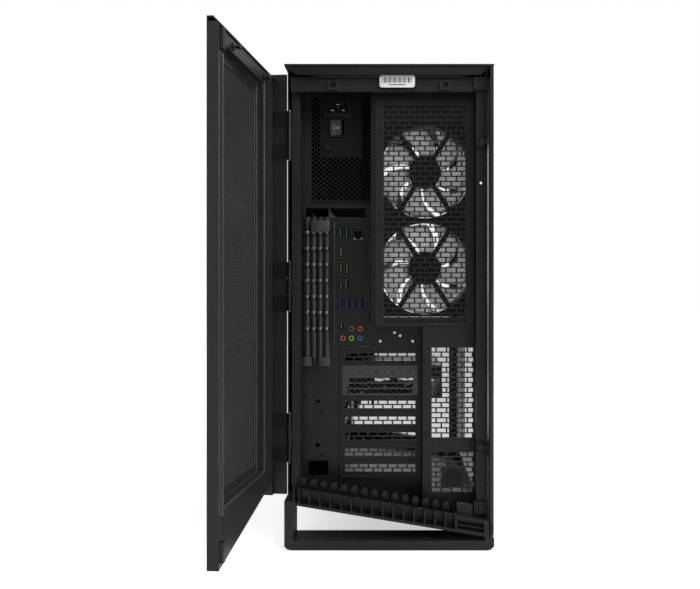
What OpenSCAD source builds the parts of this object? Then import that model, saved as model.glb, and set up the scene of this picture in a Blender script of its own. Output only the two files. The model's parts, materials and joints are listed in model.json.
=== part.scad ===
// Desktop computer tower with a hinged rear cover over a recessed connector bay.
// Row frame: +Z up, +Y towards the front glass, +X towards the glass side panel.
// The origin is the middle of the rear foot's rubber strip, on the floor. The rear faces -Y.

/* [Case] */
// Overall width
case_w = 250; // [248:1:252]
// Overall depth, rear cover closed
case_d = 550; // [548:1:560]
// Overall height
case_h = 580; // [580:1:590]
// Height of the floor sheet's underside at the middle of the case
floor_mid = 35.6; // [35:0.1:36]
// Slope of the floor, which falls towards the glass side
floor_tilt = 9.4; // [9:0.1:9.6]

/* [Rear cover] */
// Angle at which the cover stands open in the stored pose
cover_open = 95.5; // [85:0.5:105]
// Depth of the cover's outer edge
cover_edge = 12; // [10:0.5:12]
// Inset of the hinge pins from the rear face
hinge_inset = 31.5; // [30:0.5:33]

/* [Fans] */
// Side of a square fan
fan_size = 120; // [120:1:120]
// Thickness of a fan
fan_depth = 25; // [20:1:25]
// Number of blades on a case fan
fan_blades = 7; // [5:1:9]

/* [Perforation] */
// Pitch of the brick-shaped holes along a row
brick_pitch = 13; // [12:0.5:14]
// Pitch from one row of bricks to the next
brick_row = 6.3; // [6:0.1:7]

/* [Hidden] */
$fn = 64;

// Case planes
left_x = -case_w / 2;
right_x = case_w / 2;
foot_depth = 50;
rear_y = -foot_depth / 2;
front_y = rear_y + case_d;
sheet = 1.2;
gap = 0.4;
function floor_z(x) = floor_mid - tan(floor_tilt) * x;

// Feet
pad_h = 1.5;
foot_bar = 10.5;
foot_top = 59.5;
foot_end_x = right_x - 11;
foot_chamfer = 4;

// Cable comb along the rear edge of the floor
comb_depth = 38;
comb_h = 19.5;
comb_pitch = 12.46;
comb_fin = 1.6;
comb_fins = 16;
comb_first_x = -107.7;
comb_cell_depth = 18;
finger_w = 8;
finger_h = 28;

// Top cover
cover_lip = 2;
roof_z = case_h - 10;
skirt_inset = 6;
skirt_run = 8;
panel_top_z = case_h - cover_lip - gap;
top_mesh_x = [-95, 95];
top_mesh_y = [25, 475];

// Rear bay
channel_y = rear_y + 24;
raised_y = rear_y + 52;
recess_y = rear_y + 85;
post_y = rear_y + 39;
post_x = [left_x + 5, -110];
side_channel_x = [106, 119.5];
side_channel_z = [floor_z(side_channel_x[0]) + 4, roof_z - sheet];
corner_block_z = [[side_channel_z[0] + 16.5, side_channel_z[0] + 32], [553, 568.5]];
thumbscrew_x = 111.6;
thumbscrew_z = [120, 489];
raised_left_x = -22;
slot_side_x = 41.7;
raised_step_z = 266;
channel_z = [552, roof_z];
io_x = [-70.3, -25.85];
io_z = [238, 396.75];
slot_x = [-59.7, 36.4];
slot_pitch = 20.32;
slot_count = 8;
slot_top_z = 235.3;
slot_rib = 2.4;
psu_x = [-104, -18];
psu_z = [418, 568];
psu_depth = 160;
psu_rim = 3;
psu_sheet = 1.2;
dot_hole_r = 1.7;
grommet_at = [78.6, 77.8];
grommet_r = 9.6;

// Rear fan pair
rear_fan_x = 44;
rear_fan_z = [337.5, 457.5];
bracket_x = [-17.4, 105.5];
bracket_z = [266.4, 548.5];
bracket_rise = 3;
fan_hole_off = 52.5;
fan_bore_r = 57.5;
fan_blade_r = 56;
fan_hub_r = 20;
fan_flange = 4;
shaft_r = 1.5;
running_gap = 0.05;

// Rear cover, drawn closed
cover_free_x = right_x - 6;
cover_top_z = case_h - cover_lip - 1;
cover_leg_z = foot_top + 1;
cover_leg_x = -115.6;
cover_rise = comb_h + 3.3;
cover_mesh_x = [-70, 103.5];
cover_mesh_z = [100, 558.5];
hinge_x = left_x + 2.6;
hinge_y = rear_y + hinge_inset;
hinge_r = 2.5;
hinge_pin_r = 1.2;
hinge_z = [130, 315, 500];
hinge_len = 60;
knuckle_len = 20;
catch_x = [-68, 68];
catch_z = 559;

// Side panels
side_rear_y = hinge_y + 7;
glass_t = 4;
glass_x = right_x - 0.4 - glass_t;
glass_bottom = 18;
side_mesh_y = [345, 485];
side_mesh_z = [110, 500];

// Inside
tray_x = -78;
board_x = -69.6;
board_t = 1.6;
board_y = [recess_y + 2, recess_y + 246];
board_z = [98, 403];
cpu_at = [155, 335];
rad_x = tray_x + sheet;
rad_t = 27;
rad_y = 410;
rad_fan_z = [187, 307, 427];
rad_tank = 17;
rad_fan_x = rad_x + rad_t + 0.3;
pump_r = 32;
fitting_z = [cpu_at[1] - 10, cpu_at[1] + 10];
fitting_len = 26;
gpu_z = [171, 213];
gpu_x = [-62, 68];
gpu_y = [recess_y + 2, 262];
gpu_fan_r = 43;
gpu_fan_y = [114, 209];
gpu_mid_x = 6;
video_x = [-45, -24.4, -3.6, 17.2];
video_size = [16.5, 6];
video_z = 201.5;

// Power supply face
inlet_at = [-66, 545];
inlet_size = [35, 27];
rocker_at = [-66.5, 518.5];
rocker_size = [17, 19];
rocker_y = recess_y + 1.2 + 4.6;
rocker_reach = 10.78;
rocker_half = 39.5;
rocker_tilt = 10;
mode_at = [-78.5, 493.5];
mode_size = 9;

// Front controls
trim_h = 24;
trim_depth = 18;
power_at_x = 60;
reset_at_x = 40;

// ---------------------------------------------------------------- helpers

// Extrudes a flat outline drawn in X and Z from y0 forward by t.
module wall_y(y0, t) {
    translate([0, y0 + t, 0]) rotate([90, 0, 0]) linear_extrude(t) children();
}

// Extrudes a flat outline drawn in Y and Z from x0 towards +X by t.
module wall_x(x0, t) {
    translate([x0, 0, 0]) rotate([90, 0, 90]) linear_extrude(t) children();
}

module block(x, y, z) {
    translate([x[0], y[0], z[0]]) cube([x[1] - x[0], y[1] - y[0], z[1] - z[0]]);
}

module rect(x, z) {
    translate([x[0], z[0]]) square([x[1] - x[0], z[1] - z[0]]);
}

// Rows of brick-shaped holes over the rectangle x by z, cut off at its sides.
module bricks(x, z, pitch, row, web_x, web_z) {
    rows = floor((z[1] - z[0] + web_z) / row);
    for (r = [0:rows - 1]) {
        shift = (r % 2) * pitch / 2;
        for (c = [-1:ceil((x[1] - x[0]) / pitch)]) {
            a = max(x[0], x[0] + c * pitch + shift);
            b = min(x[1], x[0] + (c + 1) * pitch + shift - web_x);
            if (b - a > 2.5) rect([a, b], [z[0] + r * row, z[0] + (r + 1) * row - web_z]);
        }
    }
}

// Square fan frame, axis +Z, struts at z = 0.
module fan_frame(size, bore_r, depth) {
    hole = size / 2 - 7.5;
    difference() {
        union() {
            for (z = [0, depth - fan_flange]) {
                translate([-size / 2, -size / 2, z]) cube([size, size, fan_flange]);
            }
            cylinder(r = bore_r + 1.8, h = depth);
        }
        translate([0, 0, -1]) cylinder(r = bore_r, h = depth + 2);
        for (a = [-1, 1], b = [-1, 1]) {
            translate([a * hole, b * hole, -1]) cylinder(r = 2.15, h = depth + 2, $fn = 24);
        }
    }
    difference() {
        union() {
            cylinder(r = fan_hub_r, h = 2.5);
            cylinder(r = 5, h = 9, $fn = 32);
            for (a = [57, 123, 237, 303]) {
                rotate([0, 0, a]) translate([fan_hub_r - 2, -3, 0])
                    cube([bore_r - fan_hub_r + 2.6, 6, 3]);
            }
        }
        translate([0, 0, 2]) cylinder(r = shaft_r + running_gap, h = 10, $fn = 32);
    }
}

// Fan rotor, axis +Z: a hub cup, its shaft and pitched blades.
module fan_rotor(blade_r, hub_r, blades, depth, pitch_angle) {
    difference() {
        translate([0, 0, 3.5]) cylinder(r = hub_r - 0.5, h = depth - 5.5);
        translate([0, 0, 3]) cylinder(r = hub_r - 2.5, h = depth - 7);
    }
    translate([0, 0, 2.6]) cylinder(r = shaft_r, h = depth - 5.6, $fn = 32);
    intersection() {
        difference() {
            translate([0, 0, 4]) cylinder(r = blade_r, h = depth - 6.5);
            translate([0, 0, 3]) cylinder(r = hub_r - 1.5, h = depth);
        }
        for (i = [0:blades - 1]) {
            rotate([0, 0, i * 360 / blades]) translate([0, 0, depth / 2])
                rotate([pitch_angle, 0, 0])
                    translate([hub_r - 3, -blade_r * 0.36, -0.9])
                        cube([blade_r, blade_r * 0.72, 1.8]);
        }
    }
}

// Turns a piece drawn with its axis on +Z so that the axis lies on +Y or +X.
module axis_y(at) {
    translate(at) rotate([-90, 0, 0]) children();
}
module axis_x(at) {
    translate(at) rotate([0, 90, 0]) children();
}

// Swings a cover part, drawn closed, to the stored open pose.
module swing() {
    translate([hinge_x, hinge_y, 0]) rotate([0, 0, -cover_open])
        translate([-hinge_x, -hinge_y, 0]) children();
}

// A point and a direction on a cubic curve, and a tube swept along it.
function curve_at(p, t) =
    pow(1 - t, 3) * p[0] + 3 * pow(1 - t, 2) * t * p[1]
    + 3 * (1 - t) * t * t * p[2] + pow(t, 3) * p[3];
function curve_dir(p, t) =
    let (d = 3 * pow(1 - t, 2) * (p[1] - p[0]) + 6 * (1 - t) * t * (p[2] - p[1])
        + 3 * t * t * (p[3] - p[2]))
    d / norm(d);
function ring_at(p, t, r, sides, up) =
    let (d = curve_dir(p, t), u = cross(d, up) / norm(cross(d, up)), v = cross(u, d))
    [for (s = [0:sides - 1])
        curve_at(p, t) + r * (cos(s * 360 / sides) * u + sin(s * 360 / sides) * v)];
module hose(p, r, sides, rings, up = [0.1, 0.05, 1]) {
    points = [for (k = [0:rings]) each ring_at(p, k / rings, r, sides, up)];
    walls = [for (k = [0:rings - 1], s = [0:sides - 1])
        let (n = (s + 1) % sides)
        [k * sides + s, k * sides + n, (k + 1) * sides + n, (k + 1) * sides + s]];
    start_cap = [for (s = [sides - 1:-1:0]) s];
    end_cap = [for (s = [0:sides - 1]) rings * sides + s];
    polyhedron(points, concat([start_cap], walls, [end_cap]));
}

// ---------------------------------------------------------------- base

module foot(y) {
    color("#26262a") wall_y(y, foot_depth) polygon([
        [left_x + foot_chamfer, pad_h], [left_x, pad_h + foot_chamfer],
        [left_x, foot_top], [left_x + foot_bar, foot_top],
        [left_x + foot_bar, foot_bar + pad_h], [foot_end_x, foot_bar + pad_h],
        [foot_end_x, floor_z(foot_end_x)], [right_x, floor_z(right_x)],
        [right_x, pad_h + foot_chamfer], [right_x - foot_chamfer, pad_h]
    ]);
}

module foot_pads() {
    color("#111113") for (y = [rear_y + 3, front_y - foot_depth + 3]) {
        block([left_x + 6, right_x - 6], [y, y + foot_depth - 6], [0, pad_h]);
    }
}

module floor_pan() {
    x0 = left_x + foot_bar;
    x1 = right_x - 5.5;
    t = 1.5;
    color("#1b1b1d") wall_y(post_y + 2, front_y - trim_depth - 6 - post_y - 2) polygon([
        [x0, floor_z(x0)], [x1, floor_z(x1)], [x1, 34], [x1 - t, 34],
        [x1 - t, floor_z(x1) + 2 * t], [x0 + t, floor_z(x0) + t], [x0 + t, 84], [x0, 84]
    ]);
}

// A strip along the floor's slope over the span x, from low to h above the floor.
module comb_strip(x, h, low = 0) {
    polygon([[x[0], floor_z(x[0]) + low], [x[1], floor_z(x[1]) + low],
        [x[1], floor_z(x[1]) + h], [x[0], floor_z(x[0]) + h]]);
}

// One upright finger of half width r, its tip cut in six flats.
module finger(x, r) {
    polygon(concat(
        [[x - r, floor_z(x - r) + 1], [x + r, floor_z(x + r) + 1]],
        [for (a = [0:30:180]) [x + r * cos(a), floor_z(x) + finger_h - r + r * sin(a)]]
    ));
}

module cable_comb() {
    x0 = left_x + foot_bar;
    last_x = comb_first_x + (comb_fins - 1) * comb_pitch - comb_fin / 2;
    end_x = foot_end_x + 5;
    y0 = rear_y + 0.5;
    color("#1f1f21") {
        wall_y(y0, comb_depth - 0.5) comb_strip([x0, end_x], 3.2);
        wall_y(y0 + comb_cell_depth, 1.6) comb_strip([x0 + 1, last_x + 1], comb_h - 2, 1);
        wall_y(y0, comb_cell_depth + 0.8) {
            for (i = [0:comb_fins - 2]) {
                x = comb_first_x + i * comb_pitch;
                comb_strip([x - comb_fin / 2, x + comb_fin / 2], comb_h, 1);
            }
            comb_strip([x0, x0 + 2], comb_h, 1);
        }
        // fingers behind the cells, with rounded tips
        for (i = [0:comb_fins - 2]) {
            x = comb_first_x + (i + 0.2) * comb_pitch;
            wall_y(y0 + 30, 4.5) finger(x, finger_w / 2);
        }
        // closed pocket at the glass end, with a rib
        difference() {
            wall_y(y0, comb_cell_depth + 0.8) comb_strip([last_x, end_x], comb_h, 1);
            wall_y(y0 - 1, 13) comb_strip([last_x + 2.5, end_x - 6], comb_h - 3, 4);
        }
        wall_y(y0 + 4, 10) comb_strip([last_x + 1, end_x - 4], 9.5, 8);
        wall_y(y0 + 13, 5.5) comb_strip([last_x + 3, last_x + 22], comb_h + 13, comb_h - 2);
    }
}

// ---------------------------------------------------------------- rear bay

module rear_recess_panel() {
    x0 = post_x[1];
    dots = [[6.8, 256], [14, 252], [-11.5, 245], [30, 245], [-20, 240.5]];
    color("#19191b") difference() {
        wall_y(recess_y, sheet) polygon([
            [x0, floor_z(x0) + 2], [slot_side_x, floor_z(slot_side_x) + 3],
            [slot_side_x, raised_step_z], [raised_left_x, raised_step_z],
            [raised_left_x, roof_z - sheet], [x0, roof_z - sheet]
        ]);
        wall_y(recess_y - 1, 4) {
            rect([psu_x[0] + psu_rim, psu_x[1] - psu_rim - 3], [psu_z[0] + psu_rim, psu_z[1] - psu_rim]);
            rect(io_x, io_z);
            for (i = [0:slot_count - 1]) {
                z = slot_top_z - i * slot_pitch;
                card_joint = i == 1 ? 3 * slot_rib : 0;
                rect(slot_x, [z - slot_pitch + slot_rib / 2 - card_joint, z - slot_rib / 2]);
            }
            for (d = dots) translate(d) circle(r = dot_hole_r, $fn = 24);
            for (z = [112, 168]) translate([-92, z]) circle(r = 3, $fn = 24);
            rect([-107, -30], [404, psu_z[0] - 2.5]);
            rect([-104, -78], [73, 92]);
        }
    }
    // rims around the connector opening and the slot field
    color("#232326") {
        wall_y(recess_y - 2.2, 2.2) difference() {
            rect([io_x[0] - 1.6, io_x[1]], [io_z[0] - 1.6, io_z[1]]);
            rect(io_x, [io_z[0], io_z[1] + 2]);
        }
        wall_y(recess_y - 2.5, 2.5) difference() {
            rect([slot_x[0] - 3.4, slot_side_x - 0.2], [slot_top_z - slot_count * slot_pitch - 3, slot_top_z - 0.5]);
            rect([slot_x[0] - 1.2, slot_x[1] + 1.6], [slot_top_z - slot_count * slot_pitch - 1, slot_top_z + 2]);
        }
    }
}

module rear_raised_panel() {
    x1 = side_channel_x[0];
    grille_x = [53, 104.5];
    color("#1c1c1e") {
        difference() {
            wall_y(raised_y, sheet) polygon([
                [slot_side_x, floor_z(slot_side_x) + 3], [x1, floor_z(x1) + 3],
                [x1, channel_z[0]], [raised_left_x, channel_z[0]],
                [raised_left_x, raised_step_z], [slot_side_x, raised_step_z]
            ]);
            wall_y(raised_y - 1, 4) {
                rect([rear_fan_x - 60.5, rear_fan_x + 60.5], [rear_fan_z[0] - 60.5, rear_fan_z[1] + 60.5]);
                bricks(grille_x, [127, 240], brick_pitch, brick_row, 2, 1.5);
                difference() {
                    bricks(grille_x, [59.5, 108.5], brick_pitch, brick_row, 2, 1.5);
                    rect([grommet_at[0] - 14, grommet_at[0] + 14], [grommet_at[1] - 13, grommet_at[1] + 12]);
                }
                translate(grommet_at) circle(r = grommet_r);
            }
        }
        // pressed blank between the two grilles, and the bay's inner walls
        wall_y(raised_y - 0.8, 0.8) rect([54, 104], [110, 124.5]);
        wall_x(raised_left_x, sheet) rect([raised_y, recess_y], [raised_step_z, roof_z - sheet]);
        wall_x(slot_side_x, sheet) rect([raised_y, recess_y], [floor_z(slot_side_x) + 3, raised_step_z]);
        block([raised_left_x, slot_side_x + sheet], [raised_y, recess_y], [raised_step_z, raised_step_z + sheet]);
    }
}

module fan_bracket() {
    plate_y = raised_y - bracket_rise - sheet;
    color("#202022") {
        difference() {
            wall_y(plate_y, sheet) rect(bracket_x, bracket_z);
            wall_y(plate_y - 1, 4)
                bricks([rear_fan_x - 50.5, rear_fan_x + 50.5], [270, 541], brick_pitch, brick_row, 2, 1.5);
            for (x = [-1, 1], z = rear_fan_z, s = [-1, 1]) {
                axis_y([rear_fan_x + x * fan_hole_off, plate_y - 1, z + s * fan_hole_off])
                    cylinder(r = 2.15, h = 4, $fn = 24);
            }
        }
        difference() {
            wall_y(plate_y + sheet - 0.01, bracket_rise + 0.01) rect(bracket_x, bracket_z);
            wall_y(plate_y + 1, bracket_rise + 2)
                rect([bracket_x[0] + 1.4, bracket_x[1] - 1.4], [bracket_z[0] + 1.4, bracket_z[1] - 1.4]);
        }
    }
}

module rear_top_channel() {
    x = [post_x[0], side_channel_x[0]];
    color("#1e1e20") {
        block(x, [channel_y, channel_y + sheet], channel_z);
        block([x[0], raised_left_x], [channel_y, recess_y], [roof_z - 2 * sheet, roof_z - sheet]);
        block([raised_left_x + sheet, x[1]], [channel_y, raised_y], [roof_z - 2 * sheet, roof_z - sheet]);
        block([raised_left_x, x[1]], [channel_y, raised_y], [channel_z[0], channel_z[0] + sheet]);
        for (cx = catch_x) {
            difference() {
                block([cx - 6.5, cx + 6.5], [channel_y - 5.5, channel_y + 0.1], [catch_z - 6, catch_z + 5]);
                axis_y([cx, channel_y - 6, catch_z]) cylinder(r = 3.4, h = 6, $fn = 32);
            }
        }
    }
}

module rear_side_channel() {
    x = side_channel_x;
    z = side_channel_z;
    color("#222224") {
        difference() {
            block(x, [channel_y, channel_y + sheet], z);
            for (tz = thumbscrew_z) axis_y([thumbscrew_x, channel_y - 1, tz]) cylinder(r = 2.2, h = 4, $fn = 24);
            axis_y([thumbscrew_x, channel_y - 1, 441]) cylinder(r = 1.6, h = 4, $fn = 24);
        }
        block([x[0], x[0] + sheet], [channel_y, raised_y + sheet], z);
        for (cz = corner_block_z) {
            difference() {
                block([x[0] - 3.5, x[1]], [channel_y - 5.5, channel_y], cz);
                axis_y([x[0] + 5.5, channel_y - 6, (cz[0] + cz[1]) / 2]) cylinder(r = 5, h = 2.5, $fn = 32);
            }
        }
    }
}

module machine_screw(r, head, length) {
    difference() {
        cylinder(r = r, h = head, $fn = 32);
        for (a = [0, 90]) rotate([0, 0, a]) translate([-r * 0.62, -0.55, -1]) cube([r * 1.24, 1.1, 1 + head * 0.6]);
    }
    translate([0, 0, head]) cylinder(r = r * 0.45, h = length, $fn = 24);
}

module machine_screws() {
    plate_y = raised_y - bracket_rise - sheet;
    color("#3a3a3d") {
        for (x = [-1, 1], z = rear_fan_z, s = [-1, 1]) {
            axis_y([rear_fan_x + x * fan_hole_off, plate_y - 1.6, z + s * fan_hole_off]) machine_screw(3.6, 1.6, 8);
        }
        for (z = corner_block_z) {
            axis_y([side_channel_x[0] + 5.5, channel_y - 5.35, (z[0] + z[1]) / 2]) machine_screw(4.2, 1.7, 0.1);
        }
        axis_y([rear_fan_x, raised_y - 1.85, 550.2]) machine_screw(1.6, 1.6, 0.2);
    }
}

module panel_thumbscrews() {
    color("#2c2c2f") for (z = thumbscrew_z) {
        axis_y([thumbscrew_x, channel_y - 5.4, z]) {
            difference() {
                cylinder(r = 6.4, h = 5.2);
                for (a = [0, 90]) rotate([0, 0, a]) translate([-3.2, -0.7, -1]) cube([6.4, 1.4, 3]);
            }
            translate([0, 0, 5.2]) cylinder(r = 2.1, h = 6, $fn = 24);
        }
    }
}

module hinge_post() {
    z = [cover_leg_z + 1, roof_z - 2 * sheet - 0.1];
    color("#242427") {
        block(post_x, [post_y, post_y + sheet], z);
        block([post_x[0], post_x[0] + sheet], [post_y, recess_y], z);
        block([post_x[1] - sheet, post_x[1]], [post_y, recess_y + sheet], z);
    }
}

module barrel(z) {
    translate([hinge_x, hinge_y, z[0]]) difference() {
        cylinder(r = hinge_r, h = z[1] - z[0], $fn = 32);
        translate([0, 0, -1]) cylinder(r = hinge_pin_r + running_gap, h = z[1] - z[0] + 2, $fn = 32);
    }
}

module hinge_knuckles() {
    color("#303034") for (z = hinge_z) {
        span = [z - knuckle_len / 2, z + knuckle_len / 2];
        barrel(span);
        difference() {
            block([post_x[0] - sheet, post_x[0]], [hinge_y, post_y + 20], span);
            translate([hinge_x, hinge_y, span[0] - 1]) cylinder(r = hinge_r - 0.5, h = knuckle_len + 2, $fn = 32);
        }
    }
}

module hinge_pins() {
    color("#8a8a8d") for (z = hinge_z) {
        translate([hinge_x, hinge_y, z - hinge_len / 2 - 1]) cylinder(r = hinge_pin_r, h = hinge_len + 2, $fn = 32);
    }
}

// ---------------------------------------------------------------- chassis

module motherboard_tray() {
    z0 = floor_z(tray_x) + 2;
    y0 = recess_y + sheet;
    y1 = front_y - 25;
    psu_front = y0 + psu_depth + 8;
    color("#1a1a1c") {
        difference() {
            wall_x(tray_x, sheet) polygon([
                [y0, z0], [y1, z0], [y1, roof_z - sheet], [psu_front, roof_z - sheet],
                [psu_front, psu_z[0] - 1.5], [y0, psu_z[0] - 1.5]
            ]);
            wall_x(tray_x - 1, 4) {
                for (z = rad_fan_z) translate([rad_y, z]) circle(r = 57);
                rect([cpu_at[0] - 35, cpu_at[0] + 35], [cpu_at[1] - 40, cpu_at[1] + 40]);
                for (z = [130, 220, 310]) rect([316, 338], [z, z + 62]);
                for (y = [100, 190, 260]) rect([y, y + 34], [70, 84]);
            }
        }
        for (y = [board_y[0] + 8, 210, board_y[1] - 12], z = [board_z[0] + 8, 240, board_z[1] - 8]) {
            axis_x([tray_x + sheet, y, z]) cylinder(r = 3, h = board_x - tray_x - sheet, $fn = 24);
        }
        // shelf under the power supply
        block([psu_x[0], psu_x[1]], [y0, y0 + psu_depth], [psu_z[0] - 1 - sheet, psu_z[0] - 1]);
    }
}

module front_frame() {
    y = [front_y - 25, front_y - 6];
    z = [floor_z(left_x + foot_bar) + trim_h + 1, roof_z - sheet];
    color("#1c1c1e") {
        block([left_x + 5, left_x + 5 + sheet], y, [62, z[1]]);
        block([left_x + 5, tray_x], [y[1] - sheet, y[1]], z);
        block([tray_x, tray_x + sheet], y, z);
    }
}

module cover_plan(inset) {
    translate([left_x + inset, rear_y + inset]) square([case_w - 2 * inset, case_d - 2 * inset]);
}

// Solid of the sloping skirt under the top cover, drawn with its outer faces moved in by inner.
module skirt(inner) {
    hull() {
        translate([0, 0, case_h - cover_lip - 0.12]) linear_extrude(0.02 + inner) cover_plan(skirt_inset + inner * 1.6);
        translate([0, 0, roof_z - 0.1 - inner]) linear_extrude(0.02) cover_plan(skirt_inset + skirt_run + inner * 1.6);
    }
}

module roof_frame() {
    x = [left_x + 8, right_x - 8];
    y = [channel_y + sheet + 0.1, front_y - 6];
    color("#1d1d20") {
        difference() {
            block(x, y, [roof_z - sheet, roof_z]);
            block([-88, -30], [240, 485], [roof_z - 5, roof_z + 1]);
            for (cy = [100, 230, 360]) {
                bricks_roof([-10, 98], [cy, cy + 118]);
            }
        }
        difference() {
            skirt(0);
            skirt(1);
        }
    }
}

// Oblong air slots through the roof sheet.
module bricks_roof(x, y) {
    translate([0, 0, roof_z - 5]) linear_extrude(7) bricks(x, y, 27, 14.75, 4, 4);
}

module front_glass() {
    color("#2b3036", 0.4) wall_y(front_y - 0.4 - glass_t, glass_t) polygon([
        [left_x + 0.4, foot_top + 1], [left_x + foot_bar, foot_top + 1],
        [left_x + foot_bar, floor_z(left_x + foot_bar) + trim_h + 1],
        [glass_x - gap, floor_z(glass_x) + trim_h + 1],
        [glass_x - gap, panel_top_z], [left_x + 0.4, panel_top_z]
    ]);
}

module front_trim() {
    x0 = left_x + foot_bar;
    x1 = foot_end_x + 5;
    y0 = front_y - 0.5 - trim_depth;
    color("#1f1f21") difference() {
        union() {
            wall_y(y0, trim_depth) comb_strip([x0, x1], trim_h);
            wall_y(y0 - 5, 5.1) comb_strip([x0, x1], 3);
        }
        wall_y(y0 + 2, trim_depth - 4.5) translate([0, -1]) comb_strip([x0 + 3, x1 - 3], trim_h - 2);
        for (x = [power_at_x, reset_at_x]) {
            r = x == power_at_x ? 6.5 : 4;
            axis_y([x, front_y - 8, floor_z(x) + 13.5]) cylinder(r = r + 0.4, h = 10, $fn = 48);
        }
        front_port_boxes(0.2, 10);
    }
}

// The four sockets in the front strip: two wide, one narrow, one round.
module front_port_boxes(extra, depth) {
    for (x = [-20, 0, 18]) {
        w = x == 18 ? 9.2 : 13.4;
        h = x == 18 ? 3.6 : 6;
        z = floor_z(x) + 13.5;
        block([x - w / 2 - extra, x + w / 2 + extra], [front_y - 9, front_y - 9 + depth],
            [z - h / 2 - extra, z + h / 2 + extra]);
    }
    axis_y([-38, front_y - 9, floor_z(-38) + 13.5]) cylinder(r = 3.4 + extra, h = depth, $fn = 32);
}

module front_ports() {
    color("#0f0f11") difference() {
        front_port_boxes(0, 8.3);
        for (x = [-20, 0, 18]) {
            w = x == 18 ? 7.6 : 11.8;
            h = x == 18 ? 2.2 : 4.4;
            z = floor_z(x) + 13.5;
            block([x - w / 2, x + w / 2], [front_y - 7.6, front_y + 2], [z - h / 2, z + h / 2]);
        }
        axis_y([-38, front_y - 4.4, floor_z(-38) + 13.5]) cylinder(r = 1.8, h = 8, $fn = 24);
    }
}

module push_button(x, r) {
    axis_y([x, front_y - 6.5, floor_z(x) + 13.5]) cylinder(r = r, h = 7, $fn = 48);
}
module power_button() {
    color("#2a2a2d") push_button(power_at_x, 6.5);
}
module reset_button() {
    color("#2a2a2d") push_button(reset_at_x, 4);
}

// ---------------------------------------------------------------- rear cover

function cover_low(x) = floor_z(x) + cover_rise;

module cover_outline(inset) {
    polygon([
        [left_x + inset, cover_leg_z + inset], [cover_leg_x - inset, cover_leg_z + inset],
        [cover_leg_x - inset, cover_low(cover_leg_x) + inset],
        [cover_free_x - inset, cover_low(cover_free_x) + inset],
        [cover_free_x - inset, cover_top_z - inset], [left_x + inset, cover_top_z - inset]
    ]);
}

module door_shell() {
    bevel = 7;
    top_edge = 6.5;
    color("#2a2a2d") swing() {
        difference() {
            wall_y(rear_y, sheet) cover_outline(0);
            wall_y(rear_y - 1, 4) rect(cover_mesh_x, cover_mesh_z);
        }
        // free edge, slanted lower edge and leg, hinge side return
        wall_y(rear_y, cover_edge) difference() {
            cover_outline(0);
            cover_outline(sheet);
            rect([left_x - 1, right_x], [cover_top_z - 14, case_h]);
        }
        wall_y(rear_y, hinge_inset - 3) rect([left_x, left_x + sheet], [cover_leg_z, cover_top_z - 2]);
        // top edge, level and then bevelled under the top cover's skirt
        wall_x(left_x, cover_free_x - left_x) polygon([
            [rear_y, cover_top_z], [rear_y + top_edge, cover_top_z],
            [rear_y + top_edge + bevel, cover_top_z - bevel],
            [rear_y + top_edge + bevel, cover_top_z - bevel - 1.7],
            [rear_y + top_edge - 0.5, cover_top_z - sheet], [rear_y, cover_top_z - sheet]
        ]);
        block([cover_free_x - sheet, cover_free_x], [rear_y, rear_y + cover_edge],
            [cover_top_z - 14.5, cover_top_z - 5.5]);
    }
}

module door_mesh() {
    color("#202022") swing() wall_y(rear_y, 0.8) rect(
        [cover_mesh_x[0] + 0.1, cover_mesh_x[1] - 0.1], [cover_mesh_z[0] + 0.1, cover_mesh_z[1] - 0.1]);
}

module door_inner_frame() {
    y0 = rear_y + cover_edge;
    window_x = [-72, 106];
    window_z = [98, 554];
    rim = 11;
    color("#3a3a3e") swing() {
        difference() {
            wall_y(y0 - sheet, sheet) difference() {
                cover_outline(sheet);
                rect([left_x, cover_leg_x - 1], [0, case_h]);
                rect([left_x, right_x], [cover_top_z - 8, case_h]);
            }
            wall_y(y0 - 3, 6) rect(window_x, window_z);
        }
        wall_y(rear_y + sheet, cover_edge - sheet) difference() {
            rect([window_x[0] - sheet, window_x[1] + sheet], [window_z[0] - sheet, window_z[1] + sheet]);
            rect(window_x, window_z);
        }
        wall_y(rear_y + sheet, 2) difference() {
            rect([window_x[0] - 0.1, window_x[1] + 0.1], [window_z[0] - 0.1, window_z[1] + 0.1]);
            rect([window_x[0] + rim, window_x[1] - rim], [window_z[0] + rim, window_z[1] - rim]);
        }
        // stiffening lip along the free edge
        wall_x(cover_free_x - sheet - 3, 2.2) rect([y0, y0 + 4], [92, 540]);
    }
}

module door_hinge_leaves() {
    color("#303034") swing() for (z = hinge_z, s = [-1, 1]) {
        near = knuckle_len / 2 + 0.3;
        span = s < 0 ? [z - hinge_len / 2, z - near] : [z + near, z + hinge_len / 2];
        barrel(span);
        difference() {
            block([left_x + sheet, left_x + 2 * sheet], [rear_y + 8, hinge_y], span);
            translate([hinge_x, hinge_y, span[0] - 1]) cylinder(r = hinge_r - 0.5, h = knuckle_len + 2, $fn = 32);
        }
    }
}

module door_catches() {
    y0 = rear_y + cover_edge;
    color("#0c0c0d") swing() {
        for (z = [[545, 566], [46, 66]]) block([cover_free_x - 10, cover_free_x - sheet], [y0, y0 + 4.2], z);
        for (x = catch_x) axis_y([x, y0, catch_z]) {
            cylinder(r = 4, h = 2, $fn = 32);
            cylinder(r = 1.6, h = 7.5, $fn = 32);
            translate([0, 0, 7.5]) sphere(r = 2.6, $fn = 32);
        }
    }
}

// ---------------------------------------------------------------- outer panels

module glass_side_panel() {
    color("#2b3036", 0.4) block([glass_x, glass_x + glass_t], [rear_y + 1, front_y - 0.4],
        [glass_bottom, panel_top_z]);
}

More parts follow.
